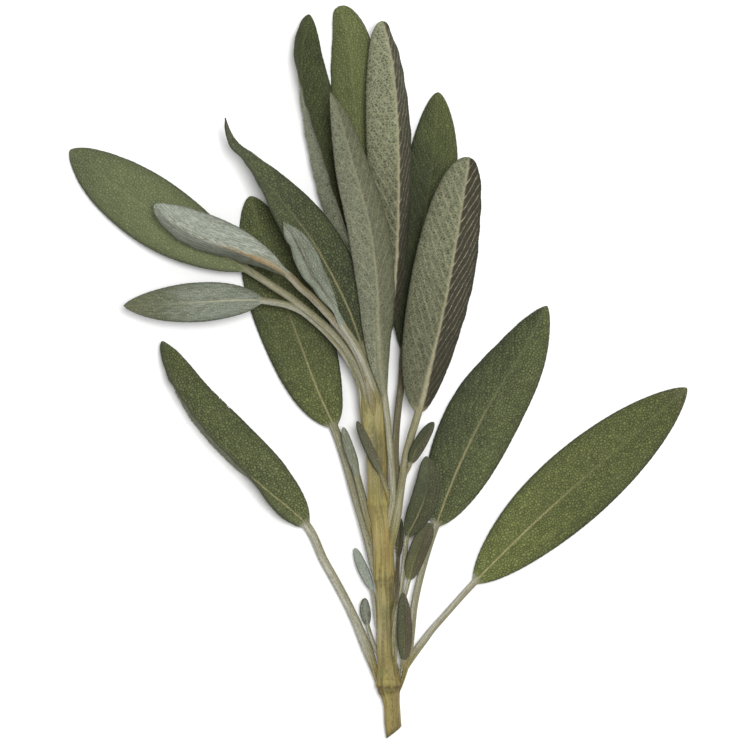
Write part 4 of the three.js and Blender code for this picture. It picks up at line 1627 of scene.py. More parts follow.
@dataclass(frozen=True)
class Stem:
    """A stem or shoot: a square or round rod with ridges, rings and closed ends.

    Attributes:
        node: The solid that it stands for.
        stations: Its sections from foot to head.
        rings: The y of each node's ring line and how strongly it shows.
        stains_and_shade: Where it is darkened towards brown: painted shade down its right side and
            in its grooves, and brown staining of the bark.
        silver: Where silver down covers it.
        olive: Where it is still green.
        spots: The y and the length of a stretch with brown spots, and how strong they are.
        turn: Radians by which the section is turned.
        squareness: 2 for a round section, more for a square one.
        slant: How far the foot is cut slantwise, per millimetre across.
        sides: Points round the section.
        ridge: Height of the lengthwise fibres.
        slot: The name of its material slot; not used.
        ring_step: Millimetres from one ring of points to the next.
        cap_rings: Rings of points on each end.
    """

    node: str
    stations: tuple[Station, ...]
    rings: tuple[tuple[float, float], ...] = ()
    stains_and_shade: tuple[Patch, ...] = ()
    silver: tuple[Patch, ...] = ()
    olive: tuple[Patch, ...] = ()
    spots: Triple = (0.0, 1.0, 0.0)
    turn: float = 0.0
    squareness: float = 2.4
    slant: float = 0.0
    sides: int = 64
    ridge: float = 0.03
    slot: str = "shoot"
    ring_step: float = 0.4
    cap_rings: int = 9

    def build(
        self, number: int, bark: bpy.types.Material, cut: bpy.types.Material
    ) -> bpy.types.Object:
        """Models the stem, dresses it and puts it in place of its solid.

        Args:
            number: The stem's number, which shifts its pattern from the others'.
            bark: The material of its side.
            cut: The material of its cut end.

        Returns:
            The piece.
        """
        rng = np.random.default_rng(STEM_SEED + number)
        route = Route([station.place for station in self.stations])
        knots = [route.length_to(i) for i in range(len(self.stations))]
        along = np.linspace(0.0, route.length, round(route.length / self.ring_step))
        centre, ahead = route.at(along)
        side, face = lengthwise_frame(ahead, np.zeros(len(along)))
        wide = flowing(knots, [station.wide for station in self.stations], along)
        high = flowing(knots, [station.high for station in self.stations], along)
        angle = np.pi - 2 * np.pi * (np.arange(self.sides) + 0.5) / self.sides
        outline = self._outline(angle)
        ring_mark, swell, brown = self._rings(route, along, angle, rng)
        ribs = self._ribs(angle, along, rng)
        reach = 1.0 + (swell + ribs) / np.minimum(wide, high)[:, None]
        across = wide[:, None] * outline[0] * reach
        above = high[:, None] * outline[1] * reach
        tilt = self.slant * across * (1 - smoothstep(0.0, 3.0, along))[:, None]
        places = (
            centre[:, None]
            + side[:, None] * across[..., None]
            + face[:, None] * above[..., None]
            + ahead[:, None] * tilt[..., None]
        )
        girth = angle * float(np.mean(wide))
        plan = np.stack(np.broadcast_arrays(along[:, None], girth[None, :]), axis=2)
        level, length, strength = self.spots
        # Painted shade down the right side and in the grooves, with the brown below each ring,
        # carried by the age mark.
        stain_and_shade = np.maximum(self._patches(self.stains_and_shade, centre[:, 1], along, angle), brown)
        foot = 0.25 * bell(along[:, None], 5.0) + bell(along[:, None], 0.8)
        marks = {
            "ring": ring_mark,
            "age": np.clip(foot + stain_and_shade, 0.0, 1.0),
            "silver": self._patches(self.silver, centre[:, 1], along, angle),
            "olive": self._patches(self.olive, centre[:, 1], along, angle),
            "spots": strength * bell(places[..., 1] - level, length) + 0.1,
            "radius": np.ones_like(across),
        }
        skin = self._with_ends(places, plan, marks, ahead)
        skin.plan = skin.plan + rng.uniform(*PATTERN_SHIFT, 2)
        piece = skin.wrap(f"{self.node}_skin", (bark, cut))
        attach(piece, "root")
        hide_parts(self.node)
        return piece

    def _outline(self, angle: np.ndarray) -> tuple[np.ndarray, np.ndarray]:
        """The section's outline for a half width and half height of 1.

        Args:
            angle: Where round the section each point is.

        Returns:
            How far across and how high each is.
        """
        c = np.cos(angle - self.turn)
        s = np.sin(angle - self.turn)
        x = np.sign(c) * np.abs(c) ** (2 / self.squareness)
        y = np.sign(s) * np.abs(s) ** (2 / self.squareness)
        turned = x * math.cos(self.turn) - y * math.sin(self.turn)
        raised = x * math.sin(self.turn) + y * math.cos(self.turn)
        return turned, raised

    def _ribs(self, angle: np.ndarray, along: np.ndarray, rng: np.random.Generator) -> np.ndarray:
        """Lengthwise fibres, as millimetres of height.

        Args:
            angle: Where round the section each point is.
            along: Millimetres along the stem.
            rng: The stem's own random numbers.

        Returns:
            Heights, shaped (rings, sides).
        """
        total = np.zeros((len(along), len(angle)))
        for count, weight in ((7, 0.9), (11, 0.8), (16, 0.6), (23, 0.4)):
            reach, pace, start = rng.uniform(0.2, 0.6), rng.uniform(0.05, 0.12), rng.uniform(0, 6)
            drift = reach * np.sin(along * pace + start)
            fade = 0.6 + 0.4 * np.sin(along * rng.uniform(0.1, 0.3) + rng.uniform(0, 6))
            turn = count * angle[None, :] + rng.uniform(0, 6) + drift[:, None]
            total = total + weight * fade[:, None] * np.sin(turn)
        return self.ridge * total

    def _rings(
        self, route: Route, along: np.ndarray, angle: np.ndarray, rng: np.random.Generator
    ) -> tuple[np.ndarray, np.ndarray, np.ndarray]:
        """The ring line at each node: a dark groove between two low lips.

        Args:
            route: The stem's route.
            along: Millimetres along it.
            angle: Where round the section each point is.
            rng: The stem's own random numbers.

        Returns:
            The groove's mark, the height of groove and lips, and the brown just below the
            line, each shaped (rings, sides).
        """
        mark = np.zeros((len(along), len(angle)))
        height = np.zeros_like(mark)
        brown = np.zeros_like(mark)
        centre, _ = route.at(along)
        for level, strength in self.rings:
            middle = float(np.interp(level, centre[:, 1], along))
            slow, quick = rng.uniform(0, 6, 2)
            wave = 0.4 * np.sin(2 * angle + slow) + 0.2 * np.sin(5 * angle + quick)
            away = along[:, None] - middle - wave[None, :]
            broken = np.clip(0.65 + 0.5 * np.sin(3 * angle + rng.uniform(0, 6)), 0.0, 1.0)
            mark = np.maximum(mark, bell(away, 0.3) * broken * strength)
            lips = 0.1 * bell(np.abs(away) - 0.9, 0.5)
            height = height + strength * (lips - 0.16 * bell(away, 0.35))
            below = bell(np.minimum(away, 0.0) + 0.6, 2.0) * (away < 0)
            brown = np.maximum(brown, strength * below)
        return mark, height, brown

    @staticmethod
    def _patches(
        patches: Sequence[Patch],
        levels: np.ndarray,
        along: np.ndarray,
        angle: np.ndarray,
    ) -> np.ndarray:
        """Soft patches on the bark.

        Args:
            patches: The patches.
            levels: The y of each ring.
            along: Millimetres along the stem at each ring.
            angle: Where round the section each point is.

        Returns:
            The strongest patch at each point, shaped (rings, sides).
        """
        total = np.zeros((len(along), len(angle)))
        for patch in patches:
            middle = float(np.interp(patch.level, levels, along))
            lengthwise = patch.strength * bell(along - middle, patch.length)
            round_it = bell(np.angle(np.exp(1j * (angle - patch.angle))), patch.reach)
            total = np.maximum(total, lengthwise[:, None] * round_it[None, :])
        return total

    def _with_ends(
        self,
        places: np.ndarray,
        plan: np.ndarray,
        marks: Mapping[str, np.ndarray],
        ahead: np.ndarray,
    ) -> Skin:
        """Closes the foot with a hollow cut face and the head with a low dome.

        Args:
            places: The side's points.
            plan: The side's plan.
            marks: The side's marks.
            ahead: The direction of travel at each ring.

        Returns:
            The whole skin.
        """
        shrink = np.sin(np.linspace(0.0, 1.0, self.cap_rings + 1)[1:] * np.pi / 2)
        inner = 1.0 - 0.985 * shrink
        foot_centre = places[0].mean(axis=0)
        foot = foot_centre + (places[0] - foot_centre) * inner[::-1, None, None]
        hollow = 0.35 * (1 - inner[::-1] ** 2)
        foot = foot + ahead[0] * hollow[:, None, None]
        head_centre = places[-1].mean(axis=0)
        head = head_centre + (places[-1] - head_centre) * inner[:, None, None]
        dome = 0.8 * np.sqrt(1 - inner**2)
        head = head + ahead[-1] * dome[:, None, None]
        whole = np.concatenate([foot, places, head])
        count = self.cap_rings
        flat_foot = (foot - foot_centre)[..., :2]
        flat_head = np.repeat(plan[-1:], count, axis=0)
        whole_plan = np.concatenate([flat_foot, plan, flat_head])
        ends = ((count, count), (0, 0))
        joined = {name: np.pad(value, ends, mode="edge") for name, value in marks.items()}
        joined["radius"][:count] = inner[::-1, None]
        whole[..., 2] = np.maximum(whole[..., 2], 0.0)
        slots = np.zeros((len(whole) - 1, self.sides), int)
        slots[:count] = 1
        return Skin(whole, joined, whole_plan, np.zeros_like(whole), slots)


def station_rows(*rows: tuple[float, ...]) -> tuple[Station, ...]:
    """Stations from rows that hold a place, a half width and a half height."""
    return tuple(Station(row[:3], *row[3:]) for row in rows)


def patch_rows(*rows: tuple[float, ...]) -> tuple[Patch, ...]:
    """Patches from rows that hold their values in turn."""
    return tuple(Patch(*row) for row in rows)


MAIN_STEM = Stem(
    node="main_stem",
    stations=station_rows(
        (3.9, -89.9, 1.9, 1.9, 1.9), (3.6, -87.4, 1.9, 1.9, 1.9), (3.4, -83.6, 1.95, 1.85, 1.95),
        (3.1, -81.1, 2.1, 2.1, 2), (2.8, -79.3, 2.3, 2.6, 2.2), (2.7, -78.1, 2.5, 3.05, 2.35),
        (2.6, -76.8, 2.7, 2.95, 2.3), (2.4, -74.3, 2.9, 2.5, 2.1), (2, -70.6, 3.2, 2.15, 1.95),
        (1.8, -63, 3.8, 2.05, 1.9), (1.7, -55.8, 4.3, 2.1, 1.95), (1.6, -52.8, 4.5, 2.3, 2.05),
        (1.5, -51, 4.7, 2.6, 2.2), (1.4, -49.3, 4.9, 2.45, 2.1), (1.2, -43.8, 5.3, 2.4, 2),
        (0.9, -37.3, 5.8, 2.5, 2), (0.4, -34.6, 6, 2.6, 2.1), (0.1, -32.8, 6.2, 2.7, 2.2),
        (-0.1, -31.1, 6.4, 2.5, 2.05), (-0.3, -24.4, 6.9, 2.45, 1.95),
        (-0.5, -17.1, 7.4, 2.5, 1.95), (-0.8, -15.2, 7.55, 2.75, 2.1),
        (-1, -13.2, 7.7, 2.85, 2.05), (-1.1, -8.2, 8, 3.05, 2), (-1.2, -5, 8.2, 2.8, 1.8),
        (-1.2, -2.6, 8.3, 1.8, 1.3),
    ),
    rings=((-78.3, 1.0), (-51.4, 0.55), (-33.0, 0.3), (-15.0, 0.2)),
    stains_and_shade=patch_rows(
        (-54.3, 1.05, 4.0, 1.1), (-59.5, 1.0, 4.5, 1.1), (-65.0, 0.95, 4.5, 1.0),
        (-70.0, 0.8, 4.0, 0.95), (-76.0, 0.6, 4.5, 0.8), (-82.0, 0.8, 4.0, 0.8),
        (-87.5, 0.6, 4.0, 0.75), (-18.0, 1.5, 4.5, 0.95), (-22.5, 1.45, 4.5, 1.1),
        (-27.0, 1.15, 4.0, 1.0), (-37.0, 0.3, 6.0, 0.5), (-44.5, 1.3, 4.0, 0.6),
        (-17.0, 2.6, 3.0, 0.5), (-23.5, 1.69, 3.5, 1.0, 0.14), (-26.0, 0.9, 3.0, 0.7, 0.3),
        (-20.5, 2.35, 2.5, 0.6, 0.3), (-40.0, 1.5, 5.0, 0.6, 0.12), (-46.0, 1.75, 4.0, 0.5, 0.1),
    ),
    silver=patch_rows(
        (-57.0, 2.6, 4.5, 0.6), (-64.5, 2.4, 5.0, 0.6), (-24.5, 2.7, 5.0, 0.55),
        (-10.0, 1.4, 4.0, 0.4), (-15.0, 2.7, 4.0, 0.45), (-17.0, 1.9, 3.0, 0.6, 0.12),
        (-8.5, 1.5, 3.0, 0.6, 0.14), (-41.0, 2.4, 5.0, 0.35, 0.5),
    ),
    olive=patch_rows(
        (-12.0, 2.2, 7.0, 0.8), (-19.0, 1.6, 6.0, 0.9), (-26.0, 1.5, 5.0, 0.8),
        (-60.0, 1.6, 6.0, 0.4),
    ),
    spots=(-80.0, 9.0, 0.75),
    turn=0.3,
    squareness=3.4,
    slant=0.62,
    sides=96,
    ridge=0.034,
    slot="stem",
)

LEFT_SHOOT = Stem(
    node="left_shoot",
    stations=station_rows(
        (-1.9, -7.5, 7.8, 1.1, 1.1), (-4.1, -3.5, 8.4, 1.1, 1.0), (-6.6, 2.5, 8.8, 1.05, 0.95),
        (-9.5, 6.7, 9.0, 1.0, 0.9), (-12.3, 9.9, 9.1, 0.95, 0.85), (-15.2, 12.7, 9.1, 0.7, 0.65),
        (-17.2, 14.6, 9.1, 0.3, 0.3),
    ),
)

UPPER_SHOOT = Stem(
    node="upper_shoot",
    stations=station_rows(
        (-1.4, -6.7, 9.0, 1.2, 1.1), (-2.7, -1.3, 10.6, 1.2, 1.1), (-4.3, 3.7, 11.7, 1.2, 1.05),
        (-6.5, 7.6, 12.2, 1.1, 1.0), (-8.7, 10.6, 12.6, 0.8, 0.8), (-10.4, 12.8, 13.0, 0.3, 0.3),
    ),
)


# ---------------------------------------------------------------- the leaves' own sizes
LARGE_LEAVES = (
    Leaf(
        node="leaf_low_left",
        stalk=(
            (0.4, -79.3, 2.4), (-0.5, -76.1, 2.5), (-1.9, -71.4, 2.4), (-3.6, -67.1, 2.2),
            (-5.8, -61.9, 2), (-8.2, -56.9, 1.9), (-10.9, -51.9, 1.7), (-13.7, -46.9, 1.6),
        ),
        rib=(
            (-17.8, -38.5, 1.6), (-28.6, -29, 1.35), (-39.6, -19.5, 1.25), (-48.6, -7.8, 1.25),
            (-54, 7.7, 2),
        ),
        width=19, taper=(0.66, 0.74), roll=(-20, -42, -50, -46, -40), stalk_width=2.2,
        left=(25, 46, 52, 50, 30), right=(20, 40, 46, 42, 25), wave=(0.3, 2.5, 0.1),
        tone=Tone(
            age=(0.7, 0.45, 0.42, 0.4), bloom=(0.2, 0.16), slant=0.25, pebble=1.2, frost_and_light=0.8,
        ),
        root=(2.2, -81.9, 2),
    ),
    Leaf(
        node="leaf_low_right",
        stalk=(
            (5.3, -79, 2.2), (6.1, -76.1, 2.2), (6.8, -73.9, 2.3), (7.9, -71.9, 2.3),
            (9.5, -69.4, 2.2), (11.4, -66.9, 2.1), (13.3, -64.4, 2), (15.5, -61.9, 1.9),
            (18.6, -58.4, 1.8),
        ),
        rib=(
            (23.8, -52.7, 1.5), (36.8, -39.7, 1.3), (49.6, -28, 1.3), (62.8, -16.5, 1.3),
            (77.1, -4, 0.8),
        ),
        width=18.4, taper=(0.68, 0.72), roll=(0, 3, 4, 0), stalk_width=1.6, left=(12, 10, 6, 4),
        right=(14, 10, 6, 4), curl=-8, wave=(0.3, 2.2, 0.2),
        tone=Tone(
            age=(1.0, 0.75, 0.55, 0.5, 0.48), slant=-0.1, bloom=(0.0, 0.0), tip=0.35, frost_and_light=0.75,
        ),
        root=(4, -81.7, 1.9),
    ),
    Leaf(
        node="leaf_mid_left",
        stalk=(
            (0.9, -54.3, 4), (-0.7, -48.8, 4.4), (-3.1, -39.9, 3.8), (-5.9, -30.4, 3.2),
            (-8.6, -20.7, 2.6),
        ),
        rib=(
            (-11.1, -13.7, 2.2), (-15.1, -4.8, 1.9), (-19.6, 7.2, 1.6), (-25.6, 23.4, 1.5),
            (-32.1, 43.9, 1),
        ),
        width=17.6, taper=(0.55, 0.6), stalk_width=2.2, left=(8, 4, 4, 4), right=(8, 4, 4, 4),
        curl=-4, wave=(0.3, 2, 0.5),
        tone=Tone(age=(0.8, 0.42, 0.45), bloom=(0.1, 0.14), frost_and_light=0.3),
    ),
    Leaf(
        node="leaf_mid_right",
        stalk=(
            (5.4, -78.8, 3.2), (6.5, -75, 4), (7.3, -71, 4.4), (8, -65.5, 4.6), (9.2, -56.5, 4.2),
            (11.8, -46, 3.9),
        ),
        rib=(
            (14.3, -38.4, 3.5), (20.1, -23.4, 3.2), (27.5, -8.5, 2.8), (35.8, 4.7, 2.4),
            (42.1, 16.5, 1.7),
        ),
        width=18.4, taper=(0.62, 0.74), stalk_width=1.75, left=(10, -4, -10, -6),
        right=(10, 4, 2, 0), curl=-10, wave=(0.3, 2.2, 0.8),
        tone=Tone(age=(0.35, 0.3, 0.3), bloom=(0.14, 0.1), slant=0.35, frost_and_light=0.4),
        root=(4.3, -81.2, 2.4),
    ),
    Leaf(
        node="leaf_far_left",
        stalk=(
            (-2.3, -11.4, 9.1), (-2.7, -7, 9.4), (-3.5, -3, 9.5), (-5.3, 1.2, 9.6),
            (-8, 5.7, 9.9), (-11, 9.3, 9.9), (-14.5, 12.5, 9.8), (-18.5, 15.8, 9.6),
            (-22.4, 18.8, 9.3), (-26.4, 21.4, 9), (-29.6, 23.5, 8.5),
        ),
        rib=(
            (-32.4, 25.3, 8), (-43.1, 31.8, 6.6), (-54.4, 38.8, 4.8), (-66.2, 47.1, 2.8),
            (-77.1, 55.4, 1),
        ),
        width=16.8, taper=(0.76, 0.68), stalk_width=1.9, left=(10, 4, 0, 0), right=(10, 4, 0, 0),
        curl=-6, wave=(0.35, 1.8, 0.3),
        tone=Tone(age=(1.0, 0.85, 0.38), bloom=(0.55, 0.3), pebble=0.4, frost_and_light=0.3),
        relief=0.7, root=(-1.6, -18.4, 7.6),
    ),
    Leaf(
        node="leaf_curled_tip",
        stalk=((-0.9, -5, 8.9), (-1.9, -1, 9.9)),
        rib=(
            (-4.1, 6.2, 11), (-7.8, 16.5, 11.6), (-16.7, 32.9, 11), (-25.4, 43.9, 10.4),
            (-32.6, 52.1, 10.4), (-36, 55.9, 10.5), (-37.4, 59.6, 10.6), (-37.9, 62.9, 10.6),
        ),
        width=13.2, taper=(0.6, 0.95), roll=(0, -4, -16, -40, -60), stalk_width=2.3,
        left=(4, 4, 26, 44, 36), right=(10, 10, 10, 20, 20), curl=-6, wave=(0.3, 2, 0.1),
        tone=Tone(age=(0.1, 0.2, 0.17), bloom=(0.16, 0.16, 0.3), pebble=1.3, tip=0.5),
    ),
    Leaf(
        node="leaf_top_1",
        stalk=((-1.9, -6.5, 7), (-2.4, 0, 6.4)),
        rib=(
            (-3.6, 9.2, 5.55), (-7.8, 25.9, 4.75), (-14.3, 43.8, 4.2), (-18.2, 63, 3.4),
            (-19.3, 77.8, 2.8), (-17.3, 89.2, 3),
        ),
        width=18, taper=(0.75, 0.68), roll=(-30, -58, -54, -36, -22), stalk_width=1.8,
        left=(20, 60, 62, 60, 30), right=(20, 62, 62, 42, 25), wave=(0.2, 2, 0.4),
        tone=Tone(
            age=(0.2, 0.18, 0.14), bloom=(0.03, 0.0), slant=0.1, under=(1.2, 0.8), pebble=0.5,
            net=2.0,
        ),
    ),
    Leaf(
        node="leaf_top_2",
        stalk=((-0.6, -7.5, 6.2), (-0.2, -1.5, 5.2)),
        rib=(
            (-0.6, 5.5, 4.1), (-2.1, 25.4, 3.75), (-4.1, 47.8, 4), (-6.1, 70.2, 4.1),
            (-7.6, 83.9, 3.9), (-9.8, 91.2, 3),
        ),
        width=14.5, taper=(0.6, 0.42), roll=(5, 14, 16, 16), stalk_width=1.7,
        left=(0, -10, -12, -16), right=(0, -10, -12, -8), curl=-6, wave=(0.15, 2, 0.2),
        tone=Tone(age=(1.0, 0.85, 0.72), bloom=(0.36, 0.12), pebble=0.45),
    ),
    Leaf(
        node="leaf_top_3",
        stalk=((0.1, -7.5, 7.6), (1.1, 0, 8.2)),
        rib=(
            (2.1, 8.4, 9.2), (4.1, 25.2, 10.2), (4.8, 42.5, 10.6), (4.6, 59.9, 10.2),
            (3.1, 77.4, 8.4), (0.9, 87.2, 6.6),
        ),
        width=15.5, taper=(0.8, 0.5), roll=(160, 150, 150, 148), stalk_width=1.6,
        left=(15, 36, 36, 36), right=(15, 30, 30, 30), curl=6, wave=(0.1, 2, 0.2),
        shown=Side.UNDER, slot="leaf_underside",
        tone=Tone(
            age=(0.0, 0.6, 0.9), bloom=(0.0, 0.25), brown=(1.0, 0.0), base=0.4, veins=1.2,
            pebble=1.35,
        ),
    ),
    Leaf(
        node="leaf_top_4",
        stalk=(
            (2.6, -38, 7.2), (3.6, -32, 7.8), (3.5, -27.3, 8.3), (3.2, -22.3, 8.7),
            (2.7, -17.1, 9.2), (2.3, -12.4, 9.8), (1.9, -9.2, 10.4),
        ),
        rib=(
            (1.7, -7.2, 10.9), (0.9, -2.5, 12), (0.3, 1.7, 12.9), (0, 5.9, 13.5),
            (-0.2, 11.6, 14.1), (-0.4, 20.2, 14.8), (-2.2, 35.5, 15.4), (-6.2, 50.2, 15.4),
            (-9.6, 62.6, 15), (-11.8, 68.9, 14.4),
        ),
        width=10.9, taper=(0.9, 0.8), roll=(176, 172, 168, 170, 175), stalk_width=1.6,
        left=(6, 12, 14, 14, 10), right=(6, 12, 12, 12, 10), curl=22, wave=(0.2, 2, 0.6),
        shown=Side.UNDER, slot="leaf_underside",
        tone=Tone(
            age=(0.8, 0.6, 0.45), bloom=(0.32, 0.22), slant=-0.8, lean=0.7, brown=(0.35, 0.0),
            veins=0.5, pebble=0.65, frost_and_light=0.5,
        ),
        relief=0.7, rib_share=1.5,
    ),
    Leaf(
        node="leaf_top_5",
        stalk=(
            (2.7, -33.8, 6.2), (4.4, -26.3, 6.9), (4.2, -20.9, 7), (4.4, -14.7, 6.7),
            (5, -8.2, 6.2), (5.7, -3, 5.5),
        ),
        rib=((6.2, 5, 4.6), (8.4, 20.4, 3), (11.6, 39.2, 2), (13.9, 55.4, 1.7), (14.9, 69.9, 1)),
        width=14.2, taper=(0.72, 0.62), stalk_width=1.75, left=(10, 6, 4, 0), right=(10, 6, 4, 0),
        curl=-6, wave=(0.2, 2, 0.3),
        tone=Tone(age=(0.0, 0.05, 0.4), bloom=(0.0, 0.0), slant=0.35, pebble=0.4, stalk_shade=0.55),
    ),
    Leaf(
        node="leaf_top_6",
        stalk=(
            (3.4, -42, 6.6), (4.7, -34.8, 7.6), (5.7, -27.8, 8.2), (6.7, -21.3, 8.8),
            (8.1, -15.9, 9.2),
        ),
        rib=(
            (9.9, -9.9, 9.8), (12.7, 1.7, 11), (15.9, 15.3, 12), (19.1, 32.6, 12),
            (20.9, 43.8, 11), (22.4, 53.2, 9.4),
        ),
        width=18.6, taper=(0.5, 0.48), roll=(150, 156, 158, 160), stalk_width=2,
        left=(25, 26, 28, 20), right=(15, 24, 24, 15), curl=6, wave=(0.25, 2, 0.2),
        shown=Side.UNDER, slot="leaf_underside",
        tone=Tone(
            age=(0.15, 0.42, 0.5), bloom=(0.05, 0.15), brown=(1.1, 0.0), base=0.18, veins=1.5,
        ),
    ),
    Leaf(
        node="young_leaf_left",
        stalk=(
            (-3.7, -13.9, 7.4), (-3.9, -8.9, 7.9), (-4.1, -5, 8.2), (-5.1, -1.6, 8.4),
            (-6.6, 1.5, 8.6), (-9.5, 5.9, 8.8), (-13, 9.9, 8.9), (-16.5, 13.1, 8.9),
            (-19.5, 15.3, 9.1), (-23.4, 16.8, 9.5), (-26.9, 17.4, 10.1),
        ),
        rib=(
            (-28.8, 17.7, 10.6), (-36.7, 17.7, 10.8), (-45.4, 17.2, 10.6), (-54.2, 16.7, 10),
            (-63.2, 16.4, 9),
        ),
        width=9.8, taper=(0.6, 0.72), stalk_width=1.7, left=(14, 10, 6, 0), right=(14, 10, 6, 0),
        wave=(0.2, 2, 0.3), growth=Growth.YOUNG, slot="young_leaf",
        tone=Tone(
            age=(0.3, 0.4, 0.5, 0.5), bloom=(0.36, 0.4, 0.3, 0.05, 0.0), pebble=0.6, frost_and_light=0.8,
        ),
        relief=0.6, root=(-2.9, -19.9, 6.4),
    ),
    Leaf(
        node="young_leaf_folded",
        stalk=(
            (-1, -11.9, 9.3), (-1.6, -7.2, 9.9), (-2.5, -2.6, 10.5), (-4.3, 2.5, 11.6),
            (-6.5, 6.7, 12.5), (-9.5, 10.8, 13), (-13, 14.8, 13.4), (-16.4, 18.4, 14),
            (-19.3, 20.9, 14.8),
        ),
        rib=(
            (-21.8, 23.5, 15.6), (-26, 26.2, 15.9), (-30.4, 28.2, 16), (-35.3, 30.1, 16.1),
            (-40.2, 31.7, 16), (-45.2, 33.6, 15.6), (-49.4, 36, 15), (-52.6, 38.5, 14.2),
            (-55.3, 41.3, 13.2),
        ),
        width=12.6, taper=(1.05, 0.7), roll=(196, 206, 206, 200), stalk_width=1.9,
        left=(25, 38, 38, 30), right=(50, 44, 44, 35), wave=(0.2, 2, 0.3), shown=Side.UNDER,
        growth=Growth.YOUNG, slot="young_leaf",
        tone=Tone(
            age=(0.5, 0.5), bloom=(0.16, 0.24, 0.38), brown=(0.0, 0.9), lean=-0.4, pebble=0.6,
            frost_and_light=0.6,
        ),
        relief=0.4, root=(-0.1, -18.4, 8), rib_share=1.0,
    ),
    Leaf(
        node="young_leaf_upper",
        stalk=(
            (0.1, -9.9, 9.5), (-0.5, -6.2, 10), (-1.4, -3, 10.7), (-2.8, 0.5, 11.5),
            (-4.6, 4.4, 12.4), (-6.5, 7.9, 13.1),
        ),
        rib=(
            (-8.8, 11.3, 14), (-11.2, 16.3, 14.6), (-13.9, 20.4, 14.9), (-16.6, 24.1, 15.1),
            (-18.6, 28.1, 15.2), (-20.1, 31.5, 15.1), (-21.6, 34, 14.9), (-23.5, 37, 14.4),
        ),
        width=7.8, taper=(1.7, 1.05), stalk_width=1.9, left=(30, 66, 55), right=(20, 24, 30),
        wave=(0.2, 2, 0.3), growth=Growth.YOUNG, slot="young_leaf",
        tone=Tone(
            age=(0.6, 0.6), bloom=(0.4, 0.45), pebble=0.6, veins=0.0, crease_shade=0.9, frost_and_light=0.75,
        ),
        relief=0.5, root=(0.9, -15.9, 8.2),
    ),
)

